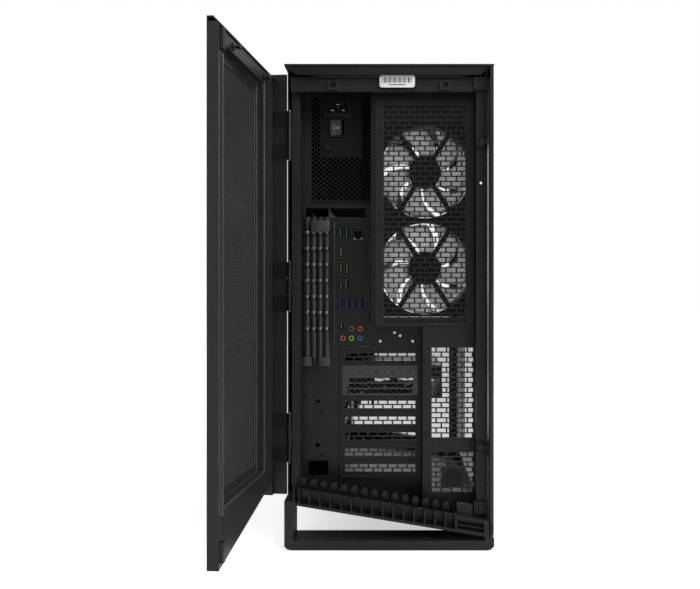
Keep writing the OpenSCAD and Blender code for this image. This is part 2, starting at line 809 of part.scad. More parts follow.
module steel_side_panel() {
    y = [side_rear_y, front_y - 6];
    z = [foot_top + 1, panel_top_z];
    lip = 4.5;
    color("#242427") {
        difference() {
            block([left_x, left_x + sheet], y, z);
            block([left_x - 1, left_x + 3], side_mesh_y, side_mesh_z);
        }
        block([left_x, left_x + lip], y, [z[1] - sheet, z[1]]);
        block([left_x, left_x + lip], y, [z[0], z[0] + sheet]);
        block([left_x, left_x + lip], [y[1] - sheet, y[1]], z);
    }
}

module side_vent_mesh() {
    color("#1a1a1c") block([left_x + sheet, left_x + sheet + 0.8],
        [side_mesh_y[0] - 4, side_mesh_y[1] + 4], [side_mesh_z[0] - 4, side_mesh_z[1] + 4]);
}

module top_cover() {
    color("#28282b") difference() {
        translate([0, 0, case_h - cover_lip]) linear_extrude(cover_lip) cover_plan(0);
        block(top_mesh_x, top_mesh_y, [case_h - 20, case_h + 1]);
    }
}

module top_vent_mesh() {
    color("#1a1a1c") block([top_mesh_x[0] - 4, top_mesh_x[1] + 4], [top_mesh_y[0] - 4, top_mesh_y[1] + 4],
        [case_h - cover_lip - 0.8, case_h - cover_lip]);
}

// ---------------------------------------------------------------- fans

module rear_fan_at(i) {
    axis_y([rear_fan_x, raised_y - bracket_rise, rear_fan_z[i]]) children();
}
module rear_fan_frames() {
    color("#151517") for (i = [0, 1]) rear_fan_at(i) fan_frame(fan_size - 0.4, fan_bore_r, fan_depth);
}
module rear_fan_rotor(i) {
    color("#9a9ca0") rear_fan_at(i) fan_rotor(fan_blade_r, fan_hub_r, fan_blades, fan_depth, 32);
}
module rad_fan_at(z) {
    axis_x([rad_fan_x, rad_y, z]) children();
}
module radiator_fan_frames() {
    color("#151517") for (z = rad_fan_z) rad_fan_at(z) fan_frame(fan_size - 0.4, fan_bore_r, fan_depth);
}
module radiator_fan_rotor(z) {
    color("#9a9ca0") rad_fan_at(z) fan_rotor(fan_blade_r, fan_hub_r, fan_blades, fan_depth, 32);
}

// ---------------------------------------------------------------- cooling

module radiator() {
    z = [rad_fan_z[0] - 60, rad_fan_z[2] + 60];
    color("#161618") {
        difference() {
            block([rad_x, rad_x + rad_t], [rad_y - 60, rad_y + 60], z);
            for (i = [0:11]) block([rad_x - 1, rad_x + rad_t + 1],
                [rad_y - 56 + i * 9.6, rad_y - 50 + i * 9.6], [z[0] + 6, z[1] - 6]);
        }
        for (s = [[z[0] - rad_tank, z[0]], [z[1], z[1] + rad_tank]]) {
            block([rad_x, rad_x + rad_t], [rad_y - 58, rad_y + 58], s);
        }
        for (y = [rad_y - 28, rad_y + 8]) axis_x([rad_x + rad_t, y, z[1] + 10.5]) cylinder(r = 5.5, h = 10, $fn = 32);
    }
}

module pump_head() {
    x0 = board_x + board_t + 6;
    color("#1b1b1e") {
        block([board_x + board_t, x0], [cpu_at[0] - 30, cpu_at[0] + 30], [cpu_at[1] - 30, cpu_at[1] + 30]);
        axis_x([x0, cpu_at[0], cpu_at[1]]) {
            cylinder(r = pump_r, h = 30);
            translate([0, 0, 30]) cylinder(r = pump_r - 2, h = 4);
        }
        for (z = fitting_z) translate([x0 + 10, cpu_at[0] + 17, z]) rotate([0, 90, 45])
            cylinder(r = 5.5, h = fitting_len, $fn = 32);
    }
}

module coolant_hoses() {
    reach = (fitting_len + 0.05) * sqrt(0.5);
    x0 = board_x + board_t + 16 + reach;
    y0 = cpu_at[0] + 17 + reach;
    top = rad_fan_z[2] + 70.5;
    end_x = rad_x + rad_t + 10.05;
    color("#131315") {
        hose([[x0, y0, fitting_z[1]], [x0 + 26, y0 + 26, fitting_z[1]],
            [end_x + 72, rad_y - 28, top], [end_x, rad_y - 28, top]], 6, 12, 24);
        hose([[x0, y0, fitting_z[0]], [x0 + 52, y0 + 52, fitting_z[0]],
            [end_x + 96, rad_y + 8, top], [end_x, rad_y + 8, top]], 6, 12, 24);
    }
}

// ---------------------------------------------------------------- power supply

// Folded base of the power supply: rear face, fan side and front face.
module psu_case() {
    y0 = recess_y + sheet;
    y1 = y0 + psu_depth;
    t = psu_sheet;
    hole_dx = 7.1;
    hole_dz = 5.7;
    mid_z = (psu_z[0] + psu_z[1]) / 2;
    mid_y = y0 + psu_depth / 2;
    color("#121214") {
        difference() {
            union() {
                block(psu_x, [y0, y0 + t], psu_z);
                block(psu_x, [y1 - t, y1], psu_z);
                block([psu_x[0], psu_x[0] + t], [y0, y1], psu_z);
            }
            wall_y(y0 - 1, 4) {
                // honeycomb below the sockets and in a strip on each side of them
                for (c = [0:10], r = [0:22], o = [0, 0.5]) {
                    x = psu_x[0] + 6.5 + (c + o) * hole_dx;
                    z = psu_z[0] + 10 + (r + o) * hole_dz;
                    beside = z > psu_z[1] - 88 && x > psu_x[0] + 17 && x < psu_x[1] - 17;
                    if (!beside && x < psu_x[1] - 7) translate([x, z]) circle(r = 2.1, $fn = 6);
                }
                translate(rocker_at) square([rocker_size[0] + 4.4, rocker_size[1] + 4.4], center = true);
                translate(inlet_at) square([inlet_size[0] - 4, inlet_size[1] - 4], center = true);
                translate(mode_at) square(mode_size + 1, center = true);
            }
            // fan grille rings
            wall_x(psu_x[0] - 1, 3) translate([mid_y, mid_z]) difference() {
                for (r = [18:9:63]) difference() {
                    circle(r = r + 6.5);
                    circle(r = r);
                }
                for (a = [45, 135]) rotate(a) square([150, 4], center = true);
            }
        }
        // bearing post for the fan
        axis_x([psu_x[0] + t, mid_y, mid_z]) difference() {
            cylinder(r = 6, h = 8, $fn = 32);
            translate([0, 0, 1]) cylinder(r = shaft_r + running_gap, h = 12, $fn = 32);
        }
    }
}

// Folded cover of the power supply: top, bottom and the side towards the fans.
module psu_cover() {
    x = [psu_x[0] + psu_sheet + 0.1, psu_x[1]];
    y = [recess_y + sheet + psu_sheet + 0.1, recess_y + sheet + psu_depth - psu_sheet - 0.1];
    color("#131315") {
        for (z = [psu_z[0], psu_z[1] - psu_sheet]) block(x, y, [z, z + psu_sheet]);
        block([x[1] - psu_sheet, x[1]], y, psu_z);
    }
}

module psu_fan_rotor() {
    color("#232326") axis_x([psu_x[0] + 1.2, recess_y + sheet + psu_depth / 2, (psu_z[0] + psu_z[1]) / 2])
        fan_rotor(66, 24, 9, 24, 34);
}

module psu_sockets() {
    y0 = recess_y + sheet;
    color("#0d0d0f") {
        // mains inlet with three flat pins
        difference() {
            union() {
                wall_y(y0 - 3, 3) translate(inlet_at) square(inlet_size, center = true);
                wall_y(y0, 20) translate(inlet_at) square([inlet_size[0] - 4.4, inlet_size[1] - 4.4], center = true);
            }
            wall_y(y0 - 4, 20) translate(inlet_at) square([inlet_size[0] - 9, inlet_size[1] - 9], center = true);
        }
        for (p = [[0, 4], [-7, -3.5], [7, -3.5]]) {
            wall_y(y0 - 1, 18) translate([inlet_at[0] + p[0], inlet_at[1] + p[1]]) square([4, 2], center = true);
        }
        // rocker bezel, bored for the rocker's pins
        difference() {
            wall_y(y0 - 2.4, 16) difference() {
                translate(rocker_at) square([rocker_size[0] + 4, rocker_size[1] + 4], center = true);
                translate(rocker_at) square([rocker_size[0] + 0.6, rocker_size[1] + 0.6], center = true);
            }
            translate([rocker_at[0], rocker_y, rocker_at[1] - rocker_size[1] / 2 - 1.7])
                cylinder(r = 1 + running_gap, h = rocker_size[1] + 3.4, $fn = 24);
        }
    }
}

// Section of the rocker about its pivot, its two tips on one circle.
function rocker_tip(s) = rocker_reach * [s * sin(rocker_half), -cos(rocker_half)];

module psu_rocker() {
    h = rocker_size[1];
    color("#3c3c40") translate([rocker_at[0], rocker_y, rocker_at[1]]) rotate([0, 0, -rocker_tilt]) {
        translate([0, 0, -h / 2]) linear_extrude(h) polygon([
            rocker_tip(-1), [0, -7.1], rocker_tip(1), [6.2, 1], [2.4, 5], [-2.4, 5], [-6.2, 1]
        ]);
        translate([0, 0, -h / 2 - 1.6]) cylinder(r = 1, h = h + 3.2, $fn = 24);
    }
}

module psu_mode_button() {
    color("#1d1d20") wall_y(recess_y + sheet - 3.5, 9) translate(mode_at) square(mode_size, center = true);
}

// ---------------------------------------------------------------- boards

module motherboard() {
    x1 = board_x + board_t;
    color("#101213") {
        difference() {
            block([board_x, x1], board_y, board_z);
            for (y = [board_y[0] + 8, 210, board_y[1] - 12], z = [board_z[0] + 8, 240, board_z[1] - 8]) {
                axis_x([board_x - 1, y, z]) cylinder(r = 2, h = 4, $fn = 24);
            }
        }
        // card slots, memory slots, power sockets and the drive header
        for (i = [4, 6]) {
            z = slot_top_z - (i + 0.5) * slot_pitch;
            block([x1, x1 + 11], [115, 204], [z - 3.7, z + 3.7]);
        }
        for (i = [0:3]) block([x1, x1 + 8], [234 + i * 10, 241 + i * 10], [250, 392]);
        block([x1, x1 + 13], [board_y[1] - 12, board_y[1] - 1], [262, 314]);
        block([x1, x1 + 13], [212, 232], [board_z[1] - 14, board_z[1] - 4]);
        block([x1, x1 + 9], [board_y[1] - 10, board_y[1] - 1], [218, 248]);
    }
}

// Connector block behind the rear opening. Sockets are given as x, z, width, height.
module io_ports() {
    // the first eight are deep sockets, the others blanked
    sockets = [
        [-61.5, 384, 5.5, 13], [-53.5, 384, 5.5, 13], [-40, 383, 12, 15], [-54, 317, 5.5, 13],
        [-61.5, 293, 5.5, 13], [-53, 293, 5.5, 13], [-44.5, 293, 5.5, 13], [-36, 293, 5.5, 13],
        [-62, 360, 5, 16], [-62, 338, 6, 15], [-54, 338, 6, 18], [-62, 316, 6, 15], [-61.5, 265, 7, 12]
    ];
    jacks = [[-37.3, 261], [-48.4, 261], [-59.2, 249], [-48.4, 249], [-37.3, 249]];
    color("#0e0e10") difference() {
        union() {
            wall_y(recess_y + 0.2, 1.7) rect([io_x[0] + 0.2, io_x[1] - 0.2], [io_z[0] + 0.2, io_z[1] - 0.2]);
            block([board_x + board_t, io_x[1] - 1], [recess_y + 1.8, recess_y + 28], [io_z[0] + 2, io_z[1] - 2]);
            wall_y(recess_y - 1.6, 2) {
                for (s = sockets) translate([s[0], s[1]]) square([s[2] + 1.6, s[3] + 1.6], center = true);
            }
            for (j = jacks) axis_y([j[0], recess_y - 1.6, j[1]]) cylinder(r = 3.7, h = 2, $fn = 32);
        }
        for (i = [0:len(sockets) - 1]) {
            s = sockets[i];
            wall_y(recess_y - 2, i < 8 ? 14 : 3.8) translate([s[0], s[1]]) square([s[2], s[3]], center = true);
        }
        for (j = jacks) axis_y([j[0], recess_y - 2, j[1]]) cylinder(r = 1.9, h = 3.8, $fn = 24);
    }
}

// Finned block: fins run along Z and stand in X.
module fins(x, y, z, count) {
    step = (y[1] - y[0]) / count;
    block([x[0], x[0] + 8], y, z);
    for (i = [0:count - 1]) block([x[0] + 7, x[1]], [y[0] + i * step, y[0] + (i + 0.62) * step], z);
}

module board_heatsinks() {
    x1 = board_x + board_t;
    color("#2d2f33") {
        fins([x1, x1 + 38], [recess_y + 30, 108], [290, 394], 3);
        fins([x1, x1 + 30], [122, 210], [376, 400], 9);
        block([x1, x1 + 12], [220, 300], [104, 165]);
        block([x1, x1 + 9], [120, 228], [222, 244]);
        block([x1, x1 + 9], [120, 204], [129, 138]);
    }
}

module memory_modules() {
    x1 = board_x + board_t + 8;
    color("#25262a") for (i = [0:3]) {
        block([x1, x1 + 30], [234.6 + i * 10, 240.4 + i * 10], [255, 388]);
        block([x1 + 30, x1 + 34], [235.4 + i * 10, 239.6 + i * 10], [262, 381]);
    }
}

// ---------------------------------------------------------------- graphics card

module graphics_card() {
    z = [slot_top_z - 3 * slot_pitch - 0.6, slot_top_z - slot_pitch + 0.6];
    y = recess_y + sheet + 0.1;
    color("#2c2d30") {
        // circuit board with its edge connector
        block([gpu_x[0], gpu_x[1] - 12], [gpu_y[0] + 2, gpu_y[1] - 6], [gpu_z[1] - 4, gpu_z[1] - 2.4]);
        // bracket with rows of triangular vents
        difference() {
            block([slot_x[0] - 2, slot_x[1] + 2], [y, y + 1], z);
            wall_y(recess_y - 1, 6) {
                for (r = [0:2], c = [0:21]) {
                    x = slot_x[0] + 7 + c * 3.85;
                    translate([x, z[0] + 6 + r * 7.2 + (c % 2) * 1.7])
                        rotate(c % 2 == 0 ? 90 : 270) circle(r = 3.6, $fn = 3);
                }
                for (x = video_x) rect([x, x + video_size[0]], [video_z, video_z + video_size[1]]);
            }
        }
        block([slot_x[0] + 3, slot_x[0] + 9], [y + 0.9, gpu_y[0] + 3], [gpu_z[1] - 4, gpu_z[1] - 2.4]);
        // video socket blanks behind the bracket
        for (x = video_x) block([x - 0.5, x + video_size[0] + 0.5], [y + 0.9, recess_y + 7],
            [video_z - 0.5, gpu_z[1] - 3.9]);
    }
}

module graphics_shroud() {
    z = [gpu_z[0], gpu_z[1] - 5];
    y = [gpu_y[0] + 6, gpu_y[1]];
    core_z = z[1] - 12;
    color("#1a1b1e") {
        difference() {
            block(gpu_x, y, z);
            for (fy = gpu_fan_y) translate([gpu_mid_x, fy, z[0] - 1]) cylinder(r = gpu_fan_r + 1.5, h = 5);
            // the air space over the fans and the finned core are open at both ends
            block([gpu_x[0] + 3, gpu_x[1] - 3], [y[0] - 1, y[1] + 1], [z[0] + 3, core_z]);
            for (i = [0:9]) block([gpu_x[0] + 10 + i * 11, gpu_x[0] + 17 + i * 11],
                [y[0] - 1, y[1] + 1], [core_z - 1, z[1] - 3]);
        }
        // bearing posts, hung from the core
        for (fy = gpu_fan_y) translate([gpu_mid_x, fy, z[0]]) difference() {
            translate([0, 0, 13]) cylinder(r = 5, h = core_z - z[0] - 11, $fn = 32);
            translate([0, 0, 12]) cylinder(r = shaft_r + running_gap, h = 4, $fn = 32);
        }
        // back plate over the circuit board
        block([gpu_x[0] + 12, gpu_x[1]], [y[0], y[1]], [gpu_z[1] - 1.6, gpu_z[1] + 0.4]);
        block([gpu_x[1] - 3, gpu_x[1]], [y[0], y[1]], [z[1] - 1, gpu_z[1] - 1]);
    }
}

module graphics_fan_rotor(fy) {
    r = gpu_fan_r;
    color("#222327") translate([gpu_mid_x, fy, gpu_z[0] + 0.5]) {
        cylinder(r = 17, h = 9);
        translate([0, 0, 8.9]) cylinder(r = shaft_r, h = 6.4, $fn = 32);
        intersection() {
            difference() {
                cylinder(r = r, h = 9.5);
                translate([0, 0, -1]) cylinder(r = 15, h = 12);
            }
            for (i = [0:10]) rotate([0, 0, i * 360 / 11]) translate([0, 0, 4.8])
                rotate([38, 0, 0]) translate([14, -7, -0.7]) cube([r, 14, 1.4]);
        }
    }
}

module slot_covers() {
    color("#1b1b1d") for (i = [0, 3, 4, 5, 6, 7]) {
        z = slot_top_z - (i + 0.5) * slot_pitch;
        difference() {
            wall_y(recess_y + sheet + 0.1, 1) rect([slot_x[0] - 2, slot_x[1] + 4], [z - 9.2, z + 9.2]);
            wall_y(recess_y - 1, 6)
                bricks([slot_x[0] + 3, slot_x[1] - 3], [z - 5.2, z + 5.4], 12.4, 5.5, 2, 1.5);
        }
        block([slot_x[1] + 2.8, slot_x[1] + 4], [recess_y + sheet + 0.1, recess_y + 7.5], [z - 9.2, z + 9.2]);
    }
}

// ---------------------------------------------------------------- cabling

module cable_rack() {
    x = [post_x[1] + 1, io_x[0] - 4];
    y = recess_y - 16;
    color("#161618") {
        for (px = [x[0], x[1] - 2]) block([px, px + 2], [y + 8.5, recess_y], [247, 392]);
        for (i = [0:6]) {
            z = 262 + i * slot_pitch;
            block(x, [y + 8.5, y + 11], [z - 2, z + 2]);
            for (c = [0:4]) {
                cx = x[0] + 1 + c * (x[1] - x[0] - 2) / 4;
                block([cx - 1, cx + 1], [y, y + 9], [z - 2, z + 2]);
            }
        }
    }
}

module power_cables() {
    y = recess_y - 11.7;
    x0 = post_x[1] + 1;
    step = (io_x[0] - 4 - x0 - 2) / 4;
    x1 = board_x + board_t + 14;
    color("#0f0f11") {
        // four sleeved leads held in the rack behind the rear cover
        for (c = [0:3]) translate([x0 + 1 + (c + 0.5) * step, y + 1, 250])
            cylinder(r = 2.6, h = 140, $fn = 16);
        // main lead from the tray to the board, and the graphics lead
        for (i = [0:3]) hose([[tray_x + 3, 327, 316 + i * 7], [tray_x + 30, 327, 316 + i * 7],
            [x1 + 20, 310, 268 + i * 12], [x1, board_y[1] - 6.5, 268 + i * 12]], 2.4, 8, 10);
        for (i = [0:2]) hose([[tray_x + 3, 327, 226 + i * 7], [-20, 350, 240 + i * 7],
            [gpu_x[1] - 10 - i * 6, 240, 258], [gpu_x[1] - 10 - i * 6, 240, gpu_z[1] + 0.7]], 2.2, 8, 12);
    }
}

// ---------------------------------------------------------------- nodes

foot(rear_y);  // rear_foot
foot(front_y - foot_depth);  // front_foot
foot_pads();
floor_pan();
cable_comb();
rear_recess_panel();
rear_raised_panel();
fan_bracket();
rear_top_channel();
rear_side_channel();
machine_screws();
panel_thumbscrews();
hinge_post();
hinge_knuckles();
hinge_pins();
motherboard_tray();
front_frame();
roof_frame();
front_glass();
front_trim();
power_button();
reset_button();
front_ports();
door_shell();
door_mesh();
door_inner_frame();
door_hinge_leaves();
door_catches();
glass_side_panel();
steel_side_panel();
side_vent_mesh();
top_cover();
top_vent_mesh();
rear_fan_frames();
rear_fan_rotor(1);  // rear_fan_rotor_upper
rear_fan_rotor(0);  // rear_fan_rotor_lower
radiator_fan_frames();
radiator_fan_rotor(rad_fan_z[0]);  // radiator_fan_rotor_low
radiator_fan_rotor(rad_fan_z[1]);  // radiator_fan_rotor_mid
radiator_fan_rotor(rad_fan_z[2]);  // radiator_fan_rotor_top
radiator();
pump_head();
coolant_hoses();
psu_case();
psu_cover();
psu_fan_rotor();
psu_sockets();
psu_rocker();
psu_mode_button();
motherboard();
io_ports();
board_heatsinks();
memory_modules();
graphics_card();
graphics_shroud();
graphics_fan_rotor(gpu_fan_y[0]);  // graphics_fan_rotor_rear
graphics_fan_rotor(gpu_fan_y[1]);  // graphics_fan_rotor_front
slot_covers();
cable_rack();
power_cables();
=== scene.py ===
"""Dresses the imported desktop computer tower: finishes, meshes, fans, sockets and leads."""

from __future__ import annotations

import json
import logging
import math
from dataclasses import dataclass, field
from enum import Enum
from typing import Sequence

import bmesh
import bpy
from mathutils import Matrix, Vector


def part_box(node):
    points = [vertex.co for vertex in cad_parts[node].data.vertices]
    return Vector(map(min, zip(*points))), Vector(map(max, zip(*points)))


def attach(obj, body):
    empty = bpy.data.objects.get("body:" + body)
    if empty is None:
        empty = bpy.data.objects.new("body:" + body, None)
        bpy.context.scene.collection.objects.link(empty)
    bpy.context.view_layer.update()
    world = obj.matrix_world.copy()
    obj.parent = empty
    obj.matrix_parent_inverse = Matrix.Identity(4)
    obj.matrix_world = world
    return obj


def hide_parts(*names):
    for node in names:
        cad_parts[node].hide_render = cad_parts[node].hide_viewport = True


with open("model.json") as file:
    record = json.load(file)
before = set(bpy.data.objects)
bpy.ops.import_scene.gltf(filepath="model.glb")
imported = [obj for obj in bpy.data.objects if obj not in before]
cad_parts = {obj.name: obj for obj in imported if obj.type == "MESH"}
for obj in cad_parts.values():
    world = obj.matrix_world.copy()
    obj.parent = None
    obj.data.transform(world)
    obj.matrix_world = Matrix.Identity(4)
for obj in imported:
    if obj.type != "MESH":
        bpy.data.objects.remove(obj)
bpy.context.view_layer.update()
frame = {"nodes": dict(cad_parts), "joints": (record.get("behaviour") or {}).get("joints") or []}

LOG = logging.getLogger("tower")
MM = 0.001

BOARD_FACE = -68.0
TRAY_X = -78.0
PUMP_CENTRE = (155.0, 335.0)
OPEN_ANGLE = 95.5
REAR_FANS = (("upper", 457.5), ("lower", 337.5))
RADIATOR_FANS = (("low", 187.0), ("mid", 307.0), ("top", 427.0))
GRAPHICS_FANS = (("rear", 114.0), ("front", 209.0))

Point = Sequence[float]
Colour = tuple[float, float, float]


class Axis(Enum):
    """The row axis that a turned or stamped piece faces along."""

    X = "X"
    Y = "Y"
    Z = "Z"

    @property
    def turn(self) -> Matrix:
        """Returns the turn that lays local +Z along this axis."""
        if self is Axis.X:
            return Matrix.Rotation(math.pi / 2, 4, "Y")
        if self is Axis.Y:
            return Matrix.Rotation(-math.pi / 2, 4, "X")
        return Matrix.Identity(4)


# ------------------------------------------------------------------ shared shader groups


class NodeTree:
    """A tree of shader nodes being put together."""

    tree: bpy.types.NodeTree

    def add(self, kind: str, **settings: object) -> bpy.types.Node:
        """Adds a node of this kind with the given attributes and returns it."""
        node = self.tree.nodes.new(kind)
        for key, value in settings.items():
            setattr(node, key, value)
        return node

    def link(self, start: bpy.types.NodeSocket, end: bpy.types.NodeSocket) -> None:
        """Joins two sockets."""
        self.tree.links.new(start, end)


class ShaderGroup(NodeTree):
    """A node group with named sockets, made once and reused by every finish."""

    made: dict[str, bpy.types.NodeTree] = {}

    def __init__(self, name: str, inputs: dict[str, float | None], outputs: Sequence[str]) -> None:
        """Makes the empty group.

        Args:
            name: The group's name.
            inputs: Socket names with default values, None for a vector.
            outputs: Names of the float outputs.
        """
        self.tree = bpy.data.node_groups.new(name, "ShaderNodeTree")
        for label, value in inputs.items():
            kind = "NodeSocketVector" if value is None else "NodeSocketFloat"
            socket = self.tree.interface.new_socket(label, in_out="INPUT", socket_type=kind)
            if value is not None:
                socket.default_value = value
        for label in outputs:
            self.tree.interface.new_socket(label, in_out="OUTPUT", socket_type="NodeSocketFloat")
        self.source = self.tree.nodes.new("NodeGroupInput")
        self.sink = self.tree.nodes.new("NodeGroupOutput")

    def maths(self, operation: str, *values: float | bpy.types.NodeSocket) -> bpy.types.NodeSocket:
        """Adds one Math node and returns its output.

        Args:
            operation: The Math node's operation.
            values: Numbers or sockets for its inputs, in order.
        """
        node = self.add("ShaderNodeMath", operation=operation)
        for socket, value in zip(node.inputs, values):
            if isinstance(value, bpy.types.NodeSocket):
                self.link(value, socket)
            else:
                socket.default_value = value
        return node.outputs[0]


def grain_group() -> bpy.types.NodeTree:
    """Returns the fine grain group: sprayed or moulded texture, and slow tone drift."""
    if "grain" in ShaderGroup.made:
        return ShaderGroup.made["grain"]
    group = ShaderGroup("grain", {"Vector": None, "Scale": 900.0, "Drift": 9.0}, ["Height", "Tone"])
    fine = group.add("ShaderNodeTexNoise")
    fine.inputs["Detail"].default_value = 3.0
    fine.inputs["Roughness"].default_value = 0.6
    slow = group.add("ShaderNodeTexNoise")
    slow.inputs["Detail"].default_value = 2.0
    for node, scale in ((fine, "Scale"), (slow, "Drift")):
        group.link(group.source.outputs["Vector"], node.inputs["Vector"])
        group.link(group.source.outputs[scale], node.inputs["Scale"])
    tone = group.maths("ADD", group.maths("MULTIPLY", fine.outputs["Fac"], 0.45),
                       group.maths("MULTIPLY", slow.outputs["Fac"], 0.55))
    group.link(fine.outputs["Fac"], group.sink.inputs["Height"])
    group.link(tone, group.sink.inputs["Tone"])
    ShaderGroup.made["grain"] = group.tree
    return group.tree


def edge_highlight_group() -> bpy.types.NodeTree:
    """Returns the edge highlight group: a mask along sharp edges, broken up by noise, that paints a highlight there."""
    if "edge_highlight" in ShaderGroup.made:
        return ShaderGroup.made["edge_highlight"]
    group = ShaderGroup("edge_highlight_mask", {"Vector": None, "Radius": 0.0006, "Break": 160.0}, ["Mask"])
    round_off = group.add("ShaderNodeBevel", samples=4)
    group.link(group.source.outputs["Radius"], round_off.inputs["Radius"])
    geometry = group.add("ShaderNodeNewGeometry")
    dot = group.add("ShaderNodeVectorMath", operation="DOT_PRODUCT")
    group.link(round_off.outputs["Normal"], dot.inputs[0])
    group.link(geometry.outputs["Normal"], dot.inputs[1])
    broken = group.add("ShaderNodeTexNoise")
    group.link(group.source.outputs["Vector"], broken.inputs["Vector"])
    group.link(group.source.outputs["Break"], broken.inputs["Scale"])
    # Where the rounded normal parts from the true normal, this mask paints a highlight along the edge.
    edge = group.maths("MULTIPLY", group.maths("SUBTRACT", 1.0, dot.outputs["Value"]), 3.4)
    mask = group.maths("MULTIPLY", edge, group.maths("ADD", broken.outputs["Fac"], 0.2))
    clamp = group.add("ShaderNodeClamp")
    group.link(mask, clamp.inputs["Value"])
    group.link(clamp.outputs["Result"], group.sink.inputs["Mask"])
    ShaderGroup.made["edge_highlight"] = group.tree
    return group.tree


def dust_group() -> bpy.types.NodeTree:
    """Returns the dust group: a thin patchy film on faces that look upwards."""
    if "dust" in ShaderGroup.made:
        return ShaderGroup.made["dust"]
    group = ShaderGroup("dust", {"Vector": None, "Amount": 0.2}, ["Mask"])
    geometry = group.add("ShaderNodeNewGeometry")
    split = group.add("ShaderNodeSeparateXYZ")
    group.link(geometry.outputs["Normal"], split.inputs[0])
    cloud = group.add("ShaderNodeTexNoise")
    cloud.inputs["Scale"].default_value = 42.0
    cloud.inputs["Detail"].default_value = 6.0
    group.link(group.source.outputs["Vector"], cloud.inputs["Vector"])
    upward = group.maths("MAXIMUM", split.outputs["Z"], 0.0)
    film = group.maths("MULTIPLY", upward, cloud.outputs["Fac"])
    group.link(group.maths("MULTIPLY", film, group.source.outputs["Amount"]), group.sink.inputs["Mask"])
    ShaderGroup.made["dust"] = group.tree
    return group.tree


def braid_group() -> bpy.types.NodeTree:
    """Returns the braid group: crossed strands of a woven sleeve."""
    if "braid" in ShaderGroup.made:
        return ShaderGroup.made["braid"]
    group = ShaderGroup("braid", {"Vector": None, "Scale": 260.0}, ["Height", "Tone"])
    strands = []
    for angle in (0.9, -0.9):
        turned = group.add("ShaderNodeMapping")
        turned.inputs["Rotation"].default_value = (angle, angle * 0.6, 0.3)
        wave = group.add("ShaderNodeTexWave", wave_type="BANDS", bands_direction="Z")
        wave.inputs["Distortion"].default_value = 0.6
        group.link(group.source.outputs["Vector"], turned.inputs["Vector"])
        group.link(turned.outputs["Vector"], wave.inputs["Vector"])
        group.link(group.source.outputs["Scale"], wave.inputs["Scale"])
        strands.append(wave.outputs["Fac"])
    height = group.maths("MAXIMUM", *strands)
    group.link(height, group.sink.inputs["Height"])
    group.link(group.maths("MULTIPLY", *strands), group.sink.inputs["Tone"])
    ShaderGroup.made["braid"] = group.tree
    return group.tree


# ------------------------------------------------------------------ finishes


class Recipe(NodeTree):
    """Puts one material together around its Principled shader."""

    def __init__(self, name: str) -> None:
        """Starts a node material of this name."""
        self.material = bpy.data.materials.new(name)
        self.material.use_nodes = True
        self.tree = self.material.node_tree
        self.shader = self.tree.nodes["Principled BSDF"]
        self.place = self.tree.nodes.new("ShaderNodeTexCoord").outputs["Object"]

    def group(self, tree: bpy.types.NodeTree, place: bpy.types.NodeSocket | None = None,
              **values: float) -> bpy.types.Node:
        """Places a shared group.

        Args:
            tree: The group.
            place: Coordinates to feed it, Object coordinates by default.
            values: Constant inputs by name.

        Returns:
            The group node.
        """
        node = self.add("ShaderNodeGroup", node_tree=tree)
        self.link(place or self.place, node.inputs["Vector"])
        for label, value in values.items():
            node.inputs[label].default_value = value
        return node

    def ramp(self, fac: bpy.types.NodeSocket, low: Colour, high: Colour,
             start: float = 0.3, end: float = 0.7) -> bpy.types.NodeSocket:
        """Adds a two-colour ramp and returns its colour output."""
        node = self.add("ShaderNodeValToRGB")
        stops = node.color_ramp.elements
        stops[0].position, stops[1].position = start, end
        stops[0].color, stops[1].color = (*low, 1.0), (*high, 1.0)
        self.link(fac, node.inputs["Fac"])
        return node.outputs["Color"]

    def mix(self, fac: bpy.types.NodeSocket, first: bpy.types.NodeSocket, colour: Colour) -> bpy.types.NodeSocket:
        """Mixes a colour over a colour socket by a mask and returns the result."""
        node = self.add("ShaderNodeMix", data_type="RGBA")
        node.inputs[7].default_value = (*colour, 1.0)
        self.link(fac, node.inputs[0])
        self.link(first, node.inputs[6])
        return node.outputs[2]

    def spread(self, fac: bpy.types.NodeSocket, low: float, high: float) -> bpy.types.NodeSocket:
        """Maps a 0 to 1 mask on to low to high and returns the result."""
        node = self.add("ShaderNodeMapRange")
        node.inputs["From Min"].default_value = 0.25
        node.inputs["From Max"].default_value = 0.75
        node.inputs["To Min"].default_value = low
        node.inputs["To Max"].default_value = high
        self.link(fac, node.inputs["Value"])
        return node.outputs["Result"]

    def relief(self, height: bpy.types.NodeSocket, distance: float, strength: float, edge: float) -> None:
        """Feeds the shader's normal from a height, over edges rounded by a small radius.

        Args:
            height: The height socket.
            distance: Depth of the relief in metres.
            strength: Strength of the relief.
            edge: Radius in metres that catches light along sharp edges, 0 for none.
        """
        bump = self.add("ShaderNodeBump")
        bump.inputs["Strength"].default_value = strength
        bump.inputs["Distance"].default_value = distance
        self.link(height, bump.inputs["Height"])
        if edge > 0:
            soft = self.add("ShaderNodeBevel", samples=4)
            soft.inputs["Radius"].default_value = edge
            self.link(soft.outputs["Normal"], bump.inputs["Normal"])
        self.link(bump.outputs["Normal"], self.shader.inputs["Normal"])


def scaled(colour: Colour, factor: float) -> Colour:
    """Returns the colour made lighter or darker by a factor."""
    return tuple(min(1.0, c * factor) for c in colour)


